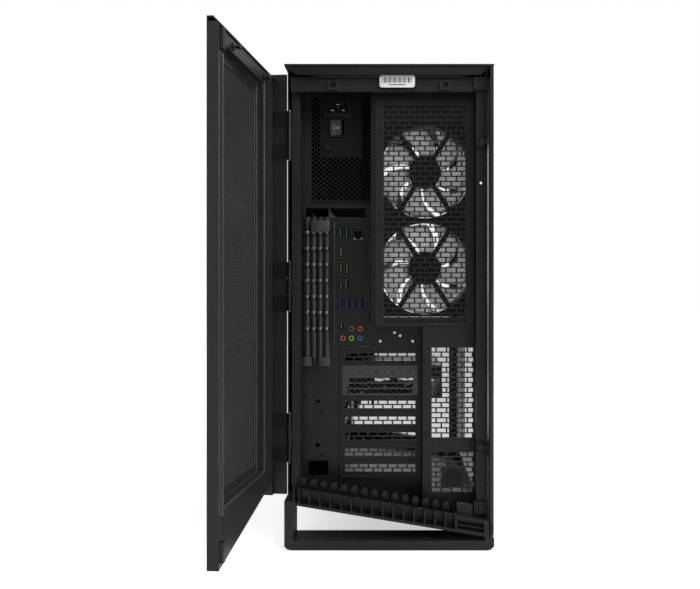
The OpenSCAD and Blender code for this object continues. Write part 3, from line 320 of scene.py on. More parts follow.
@dataclass(frozen=True)
class Finish:
    """A surface with fine grain, tone drift, a painted highlight along its sharp edges and a trace of dust."""

    name: str
    colour: Colour
    rough: tuple[float, float] = (0.42, 0.56)
    metallic: float = 0.0
    grain: float = 900.0
    relief: float = 0.00004
    contrast: float = 0.18
    edge: float = 0.0005
    edge_highlight: Colour | None = None
    dust: float = 0.04
    coat: float = 0.0
    sheen_level: float = 0.5

    def build(self) -> bpy.types.Material:
        """Returns the material, made on first use."""
        found = bpy.data.materials.get(self.name)
        return found or self.make()

    def make(self) -> bpy.types.Material:
        """Makes the node material and returns it."""
        recipe = Recipe(self.name)
        grain = recipe.group(grain_group(), Scale=self.grain)
        tint = recipe.ramp(grain.outputs["Tone"], scaled(self.colour, 1 - self.contrast),
                           scaled(self.colour, 1 + self.contrast))
        # A lighter colour mixed along sharp edges: a painted edge highlight, broken up by noise.
        if self.edge_highlight:
            edges = recipe.group(edge_highlight_group(), Radius=self.edge * 1.4)
            tint = recipe.mix(edges.outputs["Mask"], tint, self.edge_highlight)
        if self.dust > 0:
            film = recipe.group(dust_group(), Amount=self.dust)
            tint = recipe.mix(film.outputs["Mask"], tint, (0.42, 0.41, 0.39))
        recipe.link(tint, recipe.shader.inputs["Base Color"])
        recipe.link(recipe.spread(grain.outputs["Tone"], *self.rough), recipe.shader.inputs["Roughness"])
        recipe.shader.inputs["Metallic"].default_value = self.metallic
        recipe.shader.inputs["Coat Weight"].default_value = self.coat
        recipe.shader.inputs["Specular IOR Level"].default_value = self.sheen_level
        recipe.relief(grain.outputs["Height"], self.relief, 0.5, self.edge)
        self.extra(recipe)
        return recipe.material

    def extra(self, recipe: Recipe) -> None:
        """Sets what only one kind of finish has; nothing here."""


@dataclass(frozen=True)
class Brushed(Finish):
    """Drawn or brushed metal: the grain is stretched along one axis."""

    along: Axis = Axis.Z
    metallic: float = 1.0

    def make(self) -> bpy.types.Material:
        """Makes the node material and returns it."""
        recipe = Recipe(self.name)
        stretch = recipe.add("ShaderNodeMapping")
        stretch.inputs["Scale"].default_value = [0.03 if self.along.name == a else 1.0 for a in "XYZ"]
        recipe.link(recipe.place, stretch.inputs["Vector"])
        lines = recipe.group(grain_group(), stretch.outputs["Vector"], Scale=self.grain, Drift=30.0)
        tint = recipe.ramp(lines.outputs["Tone"], scaled(self.colour, 1 - self.contrast),
                           scaled(self.colour, 1 + self.contrast))
        recipe.link(tint, recipe.shader.inputs["Base Color"])
        recipe.link(recipe.spread(lines.outputs["Tone"], *self.rough), recipe.shader.inputs["Roughness"])
        recipe.shader.inputs["Metallic"].default_value = self.metallic
        recipe.relief(lines.outputs["Height"], self.relief, 0.35, self.edge)
        return recipe.material


@dataclass(frozen=True)
class Glass(Finish):
    """Tempered glass with a light smoke tint and faint handling haze."""

    haze: float = 0.03

    def make(self) -> bpy.types.Material:
        """Makes the node material and returns it."""
        recipe = Recipe(self.name)
        film = recipe.group(grain_group(), Scale=60.0, Drift=7.0)
        recipe.link(recipe.ramp(film.outputs["Tone"], scaled(self.colour, 0.985), self.colour),
                    recipe.shader.inputs["Base Color"])
        recipe.link(recipe.spread(film.outputs["Tone"], 0.0, self.haze), recipe.shader.inputs["Roughness"])
        recipe.shader.inputs["Transmission Weight"].default_value = 1.0
        recipe.shader.inputs["IOR"].default_value = 1.45
        return recipe.material


@dataclass(frozen=True)
class Frosted(Finish):
    """Pale milky plastic that lets light through."""

    through: float = 0.55

    def extra(self, recipe: Recipe) -> None:
        """Lets the light through the blade."""
        recipe.shader.inputs["Transmission Weight"].default_value = self.through
        recipe.shader.inputs["IOR"].default_value = 1.35
        recipe.shader.inputs["Subsurface Weight"].default_value = 0.2
        recipe.shader.inputs["Subsurface Radius"].default_value = (0.004, 0.004, 0.004)


@dataclass(frozen=True)
class Braided(Finish):
    """Woven sleeve over a lead or hose."""

    pitch: float = 260.0

    def make(self) -> bpy.types.Material:
        """Makes the node material and returns it."""
        recipe = Recipe(self.name)
        weave = recipe.group(braid_group(), Scale=self.pitch)
        tint = recipe.ramp(weave.outputs["Tone"], scaled(self.colour, 0.5), scaled(self.colour, 1.7), 0.1, 0.9)
        recipe.link(tint, recipe.shader.inputs["Base Color"])
        recipe.link(recipe.spread(weave.outputs["Tone"], *self.rough), recipe.shader.inputs["Roughness"])
        recipe.shader.inputs["Sheen Weight"].default_value = 0.25
        recipe.relief(weave.outputs["Height"], 0.0003, 0.8, 0.0)
        return recipe.material


class Palette:
    """Every finish on the tower, by what it covers."""

    # The lighter edge colours given below are painted highlights along sharp edges.
    case = Finish("case_powder_coat", (0.009, 0.0087, 0.0085), sheen_level=0.4, rough=(0.36, 0.5), relief=0.00005,
                  edge_highlight=(0.028, 0.0275, 0.027))
    inner = Finish("inner_satin_coat", (0.0095, 0.0092, 0.009), rough=(0.33, 0.46), sheen_level=0.34,
                   edge_highlight=(0.035, 0.034, 0.033))
    # Its pale edge colour paints a bright highlight along the door's inner edges.
    cover_inside = Finish("cover_inside_coat", (0.017, 0.0167, 0.0163), rough=(0.26, 0.38), edge=0.0008,
                          edge_highlight=(0.2, 0.2, 0.2))
    lattice = Finish("vent_lattice", (0.024, 0.0235, 0.023), rough=(0.35, 0.5), edge=0.0, dust=0.05)
    plastic = Finish("moulded_black_plastic", (0.0055, 0.0055, 0.0057), rough=(0.27, 0.4), sheen_level=0.36,
                     grain=1300.0, edge_highlight=(0.018, 0.018, 0.018))
    frame_plastic = Finish("fan_frame_plastic", (0.0035, 0.0035, 0.0036), rough=(0.45, 0.6), grain=1500.0,
                           sheen_level=0.12)
    gloss_plastic = Finish("gloss_grey_plastic", (0.07, 0.07, 0.072), rough=(0.12, 0.22), relief=0.00001, coat=0.3)
    rubber = Finish("pad_rubber", (0.012, 0.012, 0.012), rough=(0.75, 0.9), grain=600.0, relief=0.0001)
    blades = Frosted("frosted_blade_plastic", (0.8, 0.81, 0.83), rough=(0.28, 0.4), contrast=0.04, edge=0.0, dust=0.0)
    glass = Glass("smoked_tempered_glass", (0.93, 0.945, 0.95))
    steel = Brushed("bright_drawn_steel", (0.45, 0.45, 0.46), rough=(0.2, 0.34), grain=700.0)
    black_steel = Finish("black_zinc_steel", (0.02, 0.02, 0.021), rough=(0.25, 0.4), metallic=0.7,
                         edge_highlight=(0.16, 0.16, 0.16))
    socket_steel = Brushed("dark_socket_steel", (0.14, 0.14, 0.145), rough=(0.25, 0.4), grain=700.0)
    clip_nickel = Brushed("bright_clip_nickel", (0.5, 0.5, 0.51), rough=(0.22, 0.36), grain=700.0)
    border = Finish("printed_glass_border", (0.006, 0.006, 0.006), rough=(0.2, 0.35), dust=0.0, edge=0.0)
    bracket = Brushed("dark_nickel_bracket", (0.075, 0.075, 0.078), rough=(0.25, 0.4), along=Axis.X)
    anodised = Brushed("dark_anodised_metal", (0.07, 0.072, 0.078), rough=(0.3, 0.42), along=Axis.Z)
    board = Finish("black_solder_mask", (0.009, 0.0095, 0.01), rough=(0.25, 0.4), grain=300.0, coat=0.2)
    sleeve = Braided("braided_sleeve", (0.016, 0.016, 0.017), rough=(0.5, 0.7))
    hose = Braided("hose_braid", (0.014, 0.014, 0.015), rough=(0.45, 0.65), pitch=180.0)
    fan_plastic = Finish("rotor_black_plastic", (0.02, 0.02, 0.021), rough=(0.28, 0.4), grain=1200.0)
    plug_plastic = Finish("plug_grey_plastic", (0.03, 0.03, 0.031), rough=(0.35, 0.5), grain=1200.0)
    label = Finish("pale_print", (0.72, 0.72, 0.72), rough=(0.35, 0.5), contrast=0.05, dust=0.0)
    gold = Finish("gilt_contacts", (0.36, 0.26, 0.12), rough=(0.25, 0.35), metallic=1.0, dust=0.0)
    lamp = Finish("clear_lamp_plastic", (0.35, 0.5, 0.3), rough=(0.1, 0.2), coat=0.5, dust=0.0)
    glow = Frosted("frosted_light_bar", (0.85, 0.86, 0.88), rough=(0.3, 0.4), contrast=0.05, dust=0.0, through=0.25)
    bright_plate = Brushed("brushed_dark_plate", (0.16, 0.165, 0.175), rough=(0.28, 0.4), along=Axis.Y)
    accents = {tint: Finish(name, colour, rough=(0.3, 0.4), dust=0.0) for tint, name, colour in (
        ("teal", "teal_socket_plastic", (0.0, 0.1, 0.11)),
        ("blue", "blue_socket_plastic", (0.004, 0.035, 0.22)),
        ("orange", "orange_socket_ring", (0.6, 0.12, 0.01)),
        ("grey", "grey_socket_ring", (0.12, 0.12, 0.13)),
        ("rose", "rose_socket_ring", (0.55, 0.06, 0.12)),
        ("lime", "lime_socket_ring", (0.22, 0.5, 0.03)),
        ("sky", "sky_socket_ring", (0.04, 0.2, 0.55)),
    )}
    supply = Finish("supply_case_coat", (0.005, 0.005, 0.0052), rough=(0.42, 0.58), sheen_level=0.2,
                    grain=1100.0, edge_highlight=(0.03, 0.03, 0.03))


COVERING: dict[str, Finish] = {
    **{n: Palette.case for n in ("rear_foot", "front_foot", "door_shell", "top_cover", "steel_side_panel")},
    **{n: Palette.inner for n in (
        "rear_recess_panel", "rear_raised_panel", "fan_bracket", "rear_top_channel", "rear_side_channel",
        "hinge_post", "motherboard_tray", "front_frame", "roof_frame", "floor_pan")},
    "door_inner_frame": Palette.cover_inside,
    **{n: Palette.lattice for n in ("door_mesh", "side_vent_mesh", "top_vent_mesh")},
    **{n: Palette.plastic for n in (
        "cable_comb", "front_trim", "front_ports", "door_catches", "psu_sockets", "psu_mode_button",
        "cable_rack", "graphics_shroud", "power_button", "reset_button", "pump_head")},
    **{n: Palette.frame_plastic for n in (
        "rear_fan_frames", "radiator_fan_frames", "psu_fan_rotor",
        "graphics_fan_rotor_rear", "graphics_fan_rotor_front")},
    "io_ports": Palette.plastic,
    "psu_rocker": Palette.gloss_plastic,
    "foot_pads": Palette.rubber,
    **{n: Palette.blades for n in (
        "rear_fan_rotor_upper", "rear_fan_rotor_lower", "radiator_fan_rotor_low",
        "radiator_fan_rotor_mid", "radiator_fan_rotor_top")},
    **{n: Palette.glass for n in ("glass_side_panel", "front_glass")},
    "hinge_pins": Palette.steel,
    **{n: Palette.black_steel for n in (
        "hinge_knuckles", "door_hinge_leaves", "machine_screws", "panel_thumbscrews", "slot_covers")},
    **{n: Palette.supply for n in ("psu_case", "psu_cover")},
    **{n: Palette.anodised for n in ("board_heatsinks", "memory_modules", "radiator")},
    "motherboard": Palette.board,
    "graphics_card": Palette.bracket,
    "coolant_hoses": Palette.hose,
    "power_cables": Palette.sleeve,
}


# ------------------------------------------------------------------ shaping


class Workpiece:
    """A mesh under way, in millimetres, shaped by bmesh operators."""

    def __init__(self) -> None:
        """Starts an empty mesh."""
        self.bm = bmesh.new()

    def fresh(self, before: set[bmesh.types.BMVert]) -> list[bmesh.types.BMVert]:
        """Returns the vertices made since the set was taken."""
        return [v for v in self.bm.verts if v not in before]

    def move(self, verts: Sequence[bmesh.types.BMVert], matrix: Matrix) -> None:
        """Moves vertices by a matrix."""
        bmesh.ops.transform(self.bm, matrix=matrix, verts=list(verts))

    def soften(self, verts: Sequence[bmesh.types.BMVert], width: float, segments: int = 2) -> None:
        """Bevels every edge sharper than 30 degrees among these vertices."""
        known = set(verts)
        edges = [e for e in self.bm.edges if e.verts[0] in known and e.verts[1] in known
                 and len(e.link_faces) == 2 and e.calc_face_angle(0.0) > math.radians(30)]
        if edges:
            bmesh.ops.bevel(self.bm, geom=edges, offset=width, offset_type="OFFSET", segments=segments,
                            profile=0.5, affect="EDGES", material=-1, clamp_overlap=True)

    def block(self, low: Point, high: Point, edge: float = 0.0, matrix: Matrix | None = None) -> None:
        """Adds a box with rounded edges.

        Args:
            low: Lowest corner.
            high: Highest corner.
            edge: Width of the rounding, 0 for none.
            matrix: A last move.
        """
        before = set(self.bm.verts)
        made = bmesh.ops.create_cube(self.bm, size=1.0)["verts"]
        bmesh.ops.scale(self.bm, vec=[h - l for l, h in zip(low, high)], verts=made)
        bmesh.ops.translate(self.bm, vec=[(h + l) / 2 for l, h in zip(low, high)], verts=made)
        if edge > 0:
            self.soften(made, edge)
        if matrix:
            self.move(self.fresh(before), matrix)

    def turned(self, profile: Sequence[tuple[float, float]], centre: Point, axis: Axis = Axis.Z,
               steps: int = 40) -> None:
        """Spins a profile of (radius, height) a full turn.

        Args:
            profile: Points from the start of the outline to its end.
            centre: Where the profile's zero stands.
            axis: Which way the profile's height runs.
            steps: Facets round the turn.
        """
        before = set(self.bm.verts)
        line = [self.bm.verts.new((r, 0.0, h)) for r, h in profile]
        edges = [self.bm.edges.new(pair) for pair in zip(line, line[1:])]
        bmesh.ops.spin(self.bm, geom=line + edges, cent=(0, 0, 0), axis=(0, 0, 1), dvec=(0, 0, 0),
                       angle=math.tau, steps=steps, use_merge=True, use_duplicate=False)
        made = self.fresh(before)
        bmesh.ops.remove_doubles(self.bm, verts=made, dist=0.001)
        made = self.fresh(before)
        self.move(made, Matrix.Translation(centre) @ axis.turn)

    def stamped(self, outline: Sequence[tuple[float, float]], thickness: float, edge: float = 0.0,
                matrix: Matrix | None = None) -> None:
        """Extrudes a flat outline upwards.

        Args:
            outline: Corner points.
            thickness: Height of the extrusion.
            edge: Width of the rounding, 0 for none.
            matrix: A last move.
        """
        before = set(self.bm.verts)
        face = self.bm.faces.new([self.bm.verts.new((x, y, 0.0)) for x, y in outline])
        grown = bmesh.ops.extrude_face_region(self.bm, geom=[face])["geom"]
        raised = [g for g in grown if isinstance(g, bmesh.types.BMVert)]
        bmesh.ops.translate(self.bm, vec=(0, 0, thickness), verts=raised)
        made = self.fresh(before)
        if edge > 0:
            self.soften(made, edge)
        if matrix:
            self.move(self.fresh(before), matrix)

    def cup(self, width: float, height: float, wall: float, depth: float, matrix: Matrix) -> None:
        """Adds an open rectangular shell, its mouth on local +Z.

        Args:
            width: Outside width.
            height: Outside height.
            wall: Wall thickness.
            depth: Depth of the hollow.
            matrix: Where the mouth's centre stands.
        """
        before = set(self.bm.verts)
        made = bmesh.ops.create_cube(self.bm, size=1.0)["verts"]
        bmesh.ops.scale(self.bm, vec=(width, height, depth + wall), verts=made)
        bmesh.ops.translate(self.bm, vec=(0, 0, -(depth + wall) / 2), verts=made)
        mouth = max((f for v in made for f in v.link_faces), key=lambda f: f.calc_center_median().z)
        for inset, drop in ((wall, 0.0), (0.0001, -depth)):
            bmesh.ops.inset_individual(self.bm, faces=[mouth], thickness=inset, depth=drop, use_even_offset=True)
        self.move(self.fresh(before), matrix)

    def swept_blade(self, inner: float, outer: float, low: float, rise: float, turn: float, lean: float,
                    steps: int = 7) -> None:
        """Spins a leaning radial line along a helix to make one thin blade.

        Args:
            inner: Radius at the root.
            outer: Radius at the tip.
            low: Height where the blade starts.
            rise: Height gained along the sweep.
            turn: Angle of the sweep, in radians.
            lean: How far the tip trails the root, in radians.
            steps: Facets along the sweep.
        """
        parts = 6
        line = []
        for i in range(parts + 1):
            t = i / parts
            radius, angle = inner + (outer - inner) * t, -lean * t ** 1.4
            line.append(self.bm.verts.new((radius * math.cos(angle), radius * math.sin(angle), low)))
        edges = [self.bm.edges.new(pair) for pair in zip(line, line[1:])]
        bmesh.ops.spin(self.bm, geom=line + edges, cent=(0, 0, 0), axis=(0, 0, 1), dvec=(0, 0, rise / steps),
                       angle=turn, steps=steps, use_merge=False, use_duplicate=False)

    def everything(self) -> list[bmesh.types.BMVert | bmesh.types.BMEdge | bmesh.types.BMFace]:
        """Returns all vertices, edges and faces so far."""
        return list(self.bm.verts) + list(self.bm.edges) + list(self.bm.faces)

    def repeat(self, geom: Sequence[bmesh.types.BMVert | bmesh.types.BMEdge | bmesh.types.BMFace],
               matrix: Matrix) -> None:
        """Adds a moved copy of some of the mesh.

        Args:
            geom: What to copy.
            matrix: Where the copy goes.
        """
        copy = bmesh.ops.duplicate(self.bm, geom=geom)["geom"]
        self.move([g for g in copy if isinstance(g, bmesh.types.BMVert)], matrix)

    def ring_of(self, count: int) -> None:
        """Repeats everything so far round local +Z."""
        geom = self.everything()
        for i in range(1, count):
            self.repeat(geom, Matrix.Rotation(math.tau * i / count, 4, "Z"))

    def lattice(self, width: float, height: float, pitch: float, bar: float) -> None:
        """Makes a flat sheet of staggered six-sided holes, centred on the origin.

        Args:
            width: Size along local X.
            height: Size along local Y.
            pitch: Distance between hole centres.
            bar: Width of metal between two holes.
        """
        reach = pitch / math.sqrt(3)
        for x, y in ((0.0, 0.0), (pitch / 2, reach * 1.5)):
            before = set(self.bm.verts)
            for radius in (reach, reach - bar * 0.58):
                bmesh.ops.create_circle(self.bm, cap_ends=False, segments=6, radius=radius)
            made = self.fresh(before)
            first = max(made, key=lambda v: v.co.length)
            turn = math.pi / 2 - math.atan2(first.co.y, first.co.x)
            self.move(made, Matrix.Translation((x, y, 0)) @ Matrix.Rotation(turn, 4, "Z"))
            edges = [e for e in self.bm.edges if e.verts[0] in set(made)]
            bmesh.ops.bridge_loops(self.bm, edges=edges)
        for step, size in ((Vector((pitch, 0, 0)), width + 2 * pitch), (Vector((0, reach * 3, 0)), height + 4 * reach)):
            done, wanted = 1, math.ceil(size / step.length)
            while done < wanted:
                self.repeat(self.everything(), Matrix.Translation(step * done))
                done *= 2
        bmesh.ops.translate(self.bm, vec=(-width / 2 - pitch * 0.8, -height / 2 - reach * 1.3, 0),
                            verts=list(self.bm.verts))
        bmesh.ops.remove_doubles(self.bm, verts=list(self.bm.verts), dist=pitch * 0.02)
        for normal, limit in (((1, 0, 0), width), ((-1, 0, 0), width), ((0, 1, 0), height), ((0, -1, 0), height)):
            bmesh.ops.bisect_plane(self.bm, geom=self.everything(), dist=0.0001, plane_co=Vector(normal) * limit / 2,
                                   plane_no=normal, clear_outer=True)

    def finish(self, name: str, body: str, finish: Finish, slot: str, replaces: Sequence[str] = (),
               matrix: Matrix | None = None, wall: float = 0.0, smooth: bool = True) -> bpy.types.Object:
        """Closes the mesh and makes it a piece that rides on a body.

        Args:
            name: The piece's name.
            body: The CAD body that it moves with.
            finish: Its surface.
            slot: The record's material slot; not used.
            replaces: CAD nodes that it stands for.
            matrix: A last move, in millimetres.
            wall: Thickness given to an open sheet, 0 for a solid.
            smooth: Whether curved faces shade smoothly.

        Returns:
            The new object.
        """
        if matrix:
            bmesh.ops.transform(self.bm, matrix=matrix, verts=list(self.bm.verts))
        bmesh.ops.scale(self.bm, vec=(MM, MM, MM), verts=list(self.bm.verts))
        bmesh.ops.recalc_face_normals(self.bm, faces=list(self.bm.faces))
        mesh = bpy.data.meshes.new(name)
        self.bm.to_mesh(mesh)
        self.bm.free()
        if smooth:
            mesh.shade_smooth()
            mesh.set_sharp_from_angle(angle=math.radians(34))
        piece = bpy.data.objects.new(name, mesh)
        bpy.context.scene.collection.objects.link(piece)
        mesh.materials.append(finish.build())
        if wall > 0:
            thick = piece.modifiers.new("wall", "SOLIDIFY")
            thick.thickness = wall * MM
            thick.offset = 0.0
        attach(piece, body)
        if replaces:
            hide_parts(*replaces)
        LOG.info("piece %s on %s", name, body)
        return piece


def at(x: float, y: float, z: float, axis: Axis = Axis.Z) -> Matrix:
    """Returns the move that puts local zero at a point with local +Z along an axis."""
    return Matrix.Translation((x, y, z)) @ axis.turn


def facing_rear(x: float, y: float, z: float) -> Matrix:
    """Returns the move that makes local +Z face the rear, local X across and local Y up."""
    return Matrix.Translation((x, y, z)) @ Matrix.Rotation(math.pi / 2, 4, "X")


def corners(node: str) -> tuple[Vector, Vector]:
    """Returns a CAD node's lowest and highest corners in millimetres."""
    low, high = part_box(node)
    return low / MM, high / MM


# ------------------------------------------------------------------ sub-assemblies


@dataclass
class Coverings:
    """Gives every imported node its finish."""

    finishes: dict[str, Finish] = field(default_factory=lambda: dict(COVERING))

    def dress(self) -> None:
        """Puts the finishes in the nodes' material slots."""
        for name, node in frame["nodes"].items():
            material = self.finishes[name].build()
            node.data.materials.clear()
            node.data.materials.append(material)
            LOG.info("node %s wears %s", name, material.name)


@dataclass
class VentLattice:
    """One sheet of fine steel mesh in a frame, cut in strips."""

    name: str
    node: str
    body: str
    width: float
    height: float
    place: Matrix
    pitch: float = 2.7
    bar: float = 0.75
    wall: float = 0.7
    strips: int = 3

    def build(self) -> None:
        """Builds the strips and stands them for the plain plate."""
        each = self.height / self.strips
        for i in range(self.strips):
            sheet = Workpiece()
            sheet.lattice(self.width, each, self.pitch, self.bar)
            shift = Matrix.Translation((0, -self.height / 2 + each * (i + 0.5), 0))
            sheet.finish(f"{self.name}_{i + 1}", self.body, Palette.lattice, "mesh_steel",
                         replaces=(self.node,), matrix=self.place @ shift, wall=self.wall, smooth=False)


@dataclass
class CaseFan:
    """The rotor of one fan: a domed hub and swept, frosted blades."""

    name: str
    node: str
    body: str
    centre: tuple[float, float, float]
    axis: Axis
    blade_r: float = 55.6
    hub_r: float = 19.5
    blades: int = 7
    low: float = 5.0
    rise: float = 14.0
    turn: float = 42.0
    lean: float = 26.0
    wall: float = 1.3
    blade_finish: Finish = Palette.blades
    hub_finish: Finish = Palette.frame_plastic
    slot: str = "frosted_blades"

    def build(self) -> None:
        """Builds the hub and the blades."""
        place = at(*self.centre, self.axis)
        vanes = Workpiece()
        vanes.swept_blade(self.hub_r - 0.8, self.blade_r, self.low, self.rise, math.radians(self.turn),
                          math.radians(self.lean))
        vanes.ring_of(self.blades)
        vanes.finish(f"{self.name}_blades", self.body, self.blade_finish, self.slot, replaces=(self.node,),
                     matrix=place, wall=self.wall)
        hub = Workpiece()
        r, top = self.hub_r, self.low + self.rise + 2.0
        hub.turned([(0.0, top), (r - 3.0, top), (r - 1.2, top - 0.6), (r - 0.3, top - 1.8), (r, top - 4.0),
                    (r, self.low - 1.2), (r - 1.4, self.low - 1.5), (r - 1.4, top - 2.2), (0.0, top - 2.2)],
                   (0, 0, 0))
        hub.turned([(0.0, top + 0.25), (r * 0.42, top + 0.25), (r * 0.5, top - 0.3)], (0, 0, 0))
        hub.finish(f"{self.name}_hub", self.body, self.hub_finish, "black_plastic", replaces=(self.node,),
                   matrix=place)


@dataclass
class BladeRotor:
    """A small dark rotor with many blades, for the supply and the graphics card."""

    name: str
    node: str
    body: str
    centre: tuple[float, float, float]
    axis: Axis
    blade_r: float
    hub_r: float
    blades: int
    rise: float

    def build(self) -> None:
        """Builds the rotor as a case fan of another size."""
        CaseFan(self.name, self.node, self.body, self.centre, self.axis, self.blade_r, self.hub_r, self.blades,
                low=1.5, rise=self.rise, turn=360 / self.blades * 0.86, lean=18.0, wall=1.0,
                blade_finish=Palette.fan_plastic, slot="black_plastic").build()


@dataclass
class Sockets:
    """Shells, tongues and rings in the connector block behind the motherboard."""

    depth: float = 9.0
    shell: float = 0.45
    deep: tuple[tuple[float, float, float, float, str], ...] = (
        (-61.5, 384.0, 5.5, 13.0, "teal"), (-53.5, 384.0, 5.5, 13.0, "teal"), (-54.0, 317.0, 5.5, 13.0, "teal"),
        (-61.5, 293.0, 5.5, 13.0, "blue"), (-53.0, 293.0, 5.5, 13.0, "blue"),
        (-44.5, 293.0, 5.5, 13.0, "blue"), (-36.0, 293.0, 5.5, 13.0, "blue"))
    blanks: tuple[tuple[float, float, float, float], ...] = (
        (-62.0, 360.0, 5.0, 16.0), (-62.0, 338.0, 6.0, 15.0), (-54.0, 338.0, 6.0, 18.0),
        (-62.0, 316.0, 6.0, 15.0), (-61.5, 265.0, 7.0, 12.0))
    jacks: tuple[tuple[float, float, str], ...] = (
        (-37.3, 261.0, "orange"), (-48.4, 261.0, "grey"), (-59.2, 249.0, "rose"), (-48.4, 249.0, "lime"),
        (-37.3, 249.0, "sky"))

    def build(self) -> None:
        """Builds every socket's detail."""
        self.y = corners("io_ports")[0].y
        self.shells()
        self.tongues()
        self.network()
        self.audio()
        self.plate()

    def shells(self) -> None:
        """Lines each rectangular socket with a thin folded steel shell."""
        work = Workpiece()
        for x, z, w, h in [s[:4] for s in self.deep] + list(self.blanks):
            depth = 2.6 if (x, z, w, h) in self.blanks else self.depth
            work.cup(w + 0.5, h + 0.5, self.shell, depth, facing_rear(x, self.y - 0.25, z))
        work.finish("socket_shells", "chassis", Palette.socket_steel, "bracket_steel", smooth=False)
        wells = Workpiece()
        for x, z, w, h in [s[:4] for s in self.deep] + list(self.blanks):
            deep = self.depth if (x, z, w, h) not in self.blanks else 2.6
            wells.block((x - w / 2 + 0.3, self.y + deep - 1.2, z - h / 2 + 0.3),
                        (x + w / 2 - 0.3, self.y + deep - 0.35, z + h / 2 - 0.3))
        wells.finish("socket_wells", "chassis", Palette.frame_plastic, "black_plastic")

    def tongues(self) -> None:
        """Puts the coloured tongue with its contact strips in each socket."""
        for tint in ("teal", "blue"):
            work = Workpiece()
            for x, z, _, h, colour in self.deep:
                if colour == tint:
                    reach = h / 2 - 1.3
                    work.block((x - 1.9, self.y + 1.2, z - reach), (x - 0.1, self.y + self.depth, z + reach), 0.25)
            work.finish(f"socket_tongues_{tint}", "chassis", Palette.accents[tint], "black_plastic")
        gold = Workpiece()
        for x, z, _, h, _ in self.deep:
            for i in range(4):
                level = z - h / 2 + 2.6 + i * (h - 5.2) / 3
                gold.block((x - 0.1, self.y + 1.8, level - 0.35), (x + 0.1, self.y + 7.0, level + 0.35), 0.05)
        for x, z, w, h in self.blanks:
            gold.block((x - 0.5, self.y + 0.9, z - h / 2 + 2.4), (x + 0.5, self.y + 2.4, z + h / 2 - 2.4), 0.15)
        gold.finish("socket_contacts", "chassis", Palette.gold, "bracket_steel")

    def network(self) -> None:
        """Builds the network socket: a shell with a stepped mouth and two small lamps."""
        x, z = -40.0, 383.0
        shell = Workpiece()
        shell.cup(12.6, 15.6, 0.6, self.depth, facing_rear(x, self.y - 0.3, z))
        shell.finish("network_socket_shell", "chassis", Palette.socket_steel, "bracket_steel", smooth=False)
        well = Workpiece()
        well.block((x - 5.6, self.y + 7.4, z - 7.0), (x + 5.6, self.y + 8.4, z + 7.0))
        well.finish("network_socket_well", "chassis", Palette.frame_plastic, "black_plastic")
        pins = Workpiece()
        for i in range(8):
            pins.block((x - 4.2 + i * 1.2, self.y + 2.0, z + 3.4), (x - 3.8 + i * 1.2, self.y + 8.0, z + 5.4), 0.08)
        pins.finish("network_socket_pins", "chassis", Palette.gold, "bracket_steel")
        lamps = Workpiece()
        for side in (-1, 1):
            mid = x + side * 4.4
            lamps.block((mid - 1.2, self.y + 0.4, z - 7.0), (mid + 1.2, self.y + 2.0, z - 5.4), 0.2)
        lamps.finish("network_socket_lamps", "chassis", Palette.lamp, "black_plastic")

    def audio(self) -> None:
        """Builds the ringed sound sockets."""
        for x, z, tint in self.jacks:
            ring = Workpiece()
            ring.turned([(1.95, -3.0), (1.95, 0.3), (2.2, 0.55), (3.1, 0.55), (3.45, 0.2), (3.45, -0.2)],
                        (x, self.y, z), Axis.Y, 32)
            flip = Matrix.Translation((0, 2 * self.y, 0)) @ Matrix.Scale(-1, 4, (0, 1, 0))
            ring.finish(f"sound_socket_{tint}", "chassis", Palette.accents[tint], "black_plastic", matrix=flip)

    def plate(self) -> None:
        """Frames the connector opening with a thin bright lip down its left side and foot."""
        low, high = corners("io_ports")
        lip = Workpiece()
        y = self.y + 0.6
        lip.block((low.x - 1.0, y - 1.2, low.z - 1.0), (low.x + 0.2, y, high.z), 0.2)
        lip.block((low.x - 1.0, y - 1.2, low.z - 1.0), (high.x, y, low.z + 0.2), 0.2)
        lip.finish("connector_opening_lip", "chassis", Palette.socket_steel, "bracket_steel")


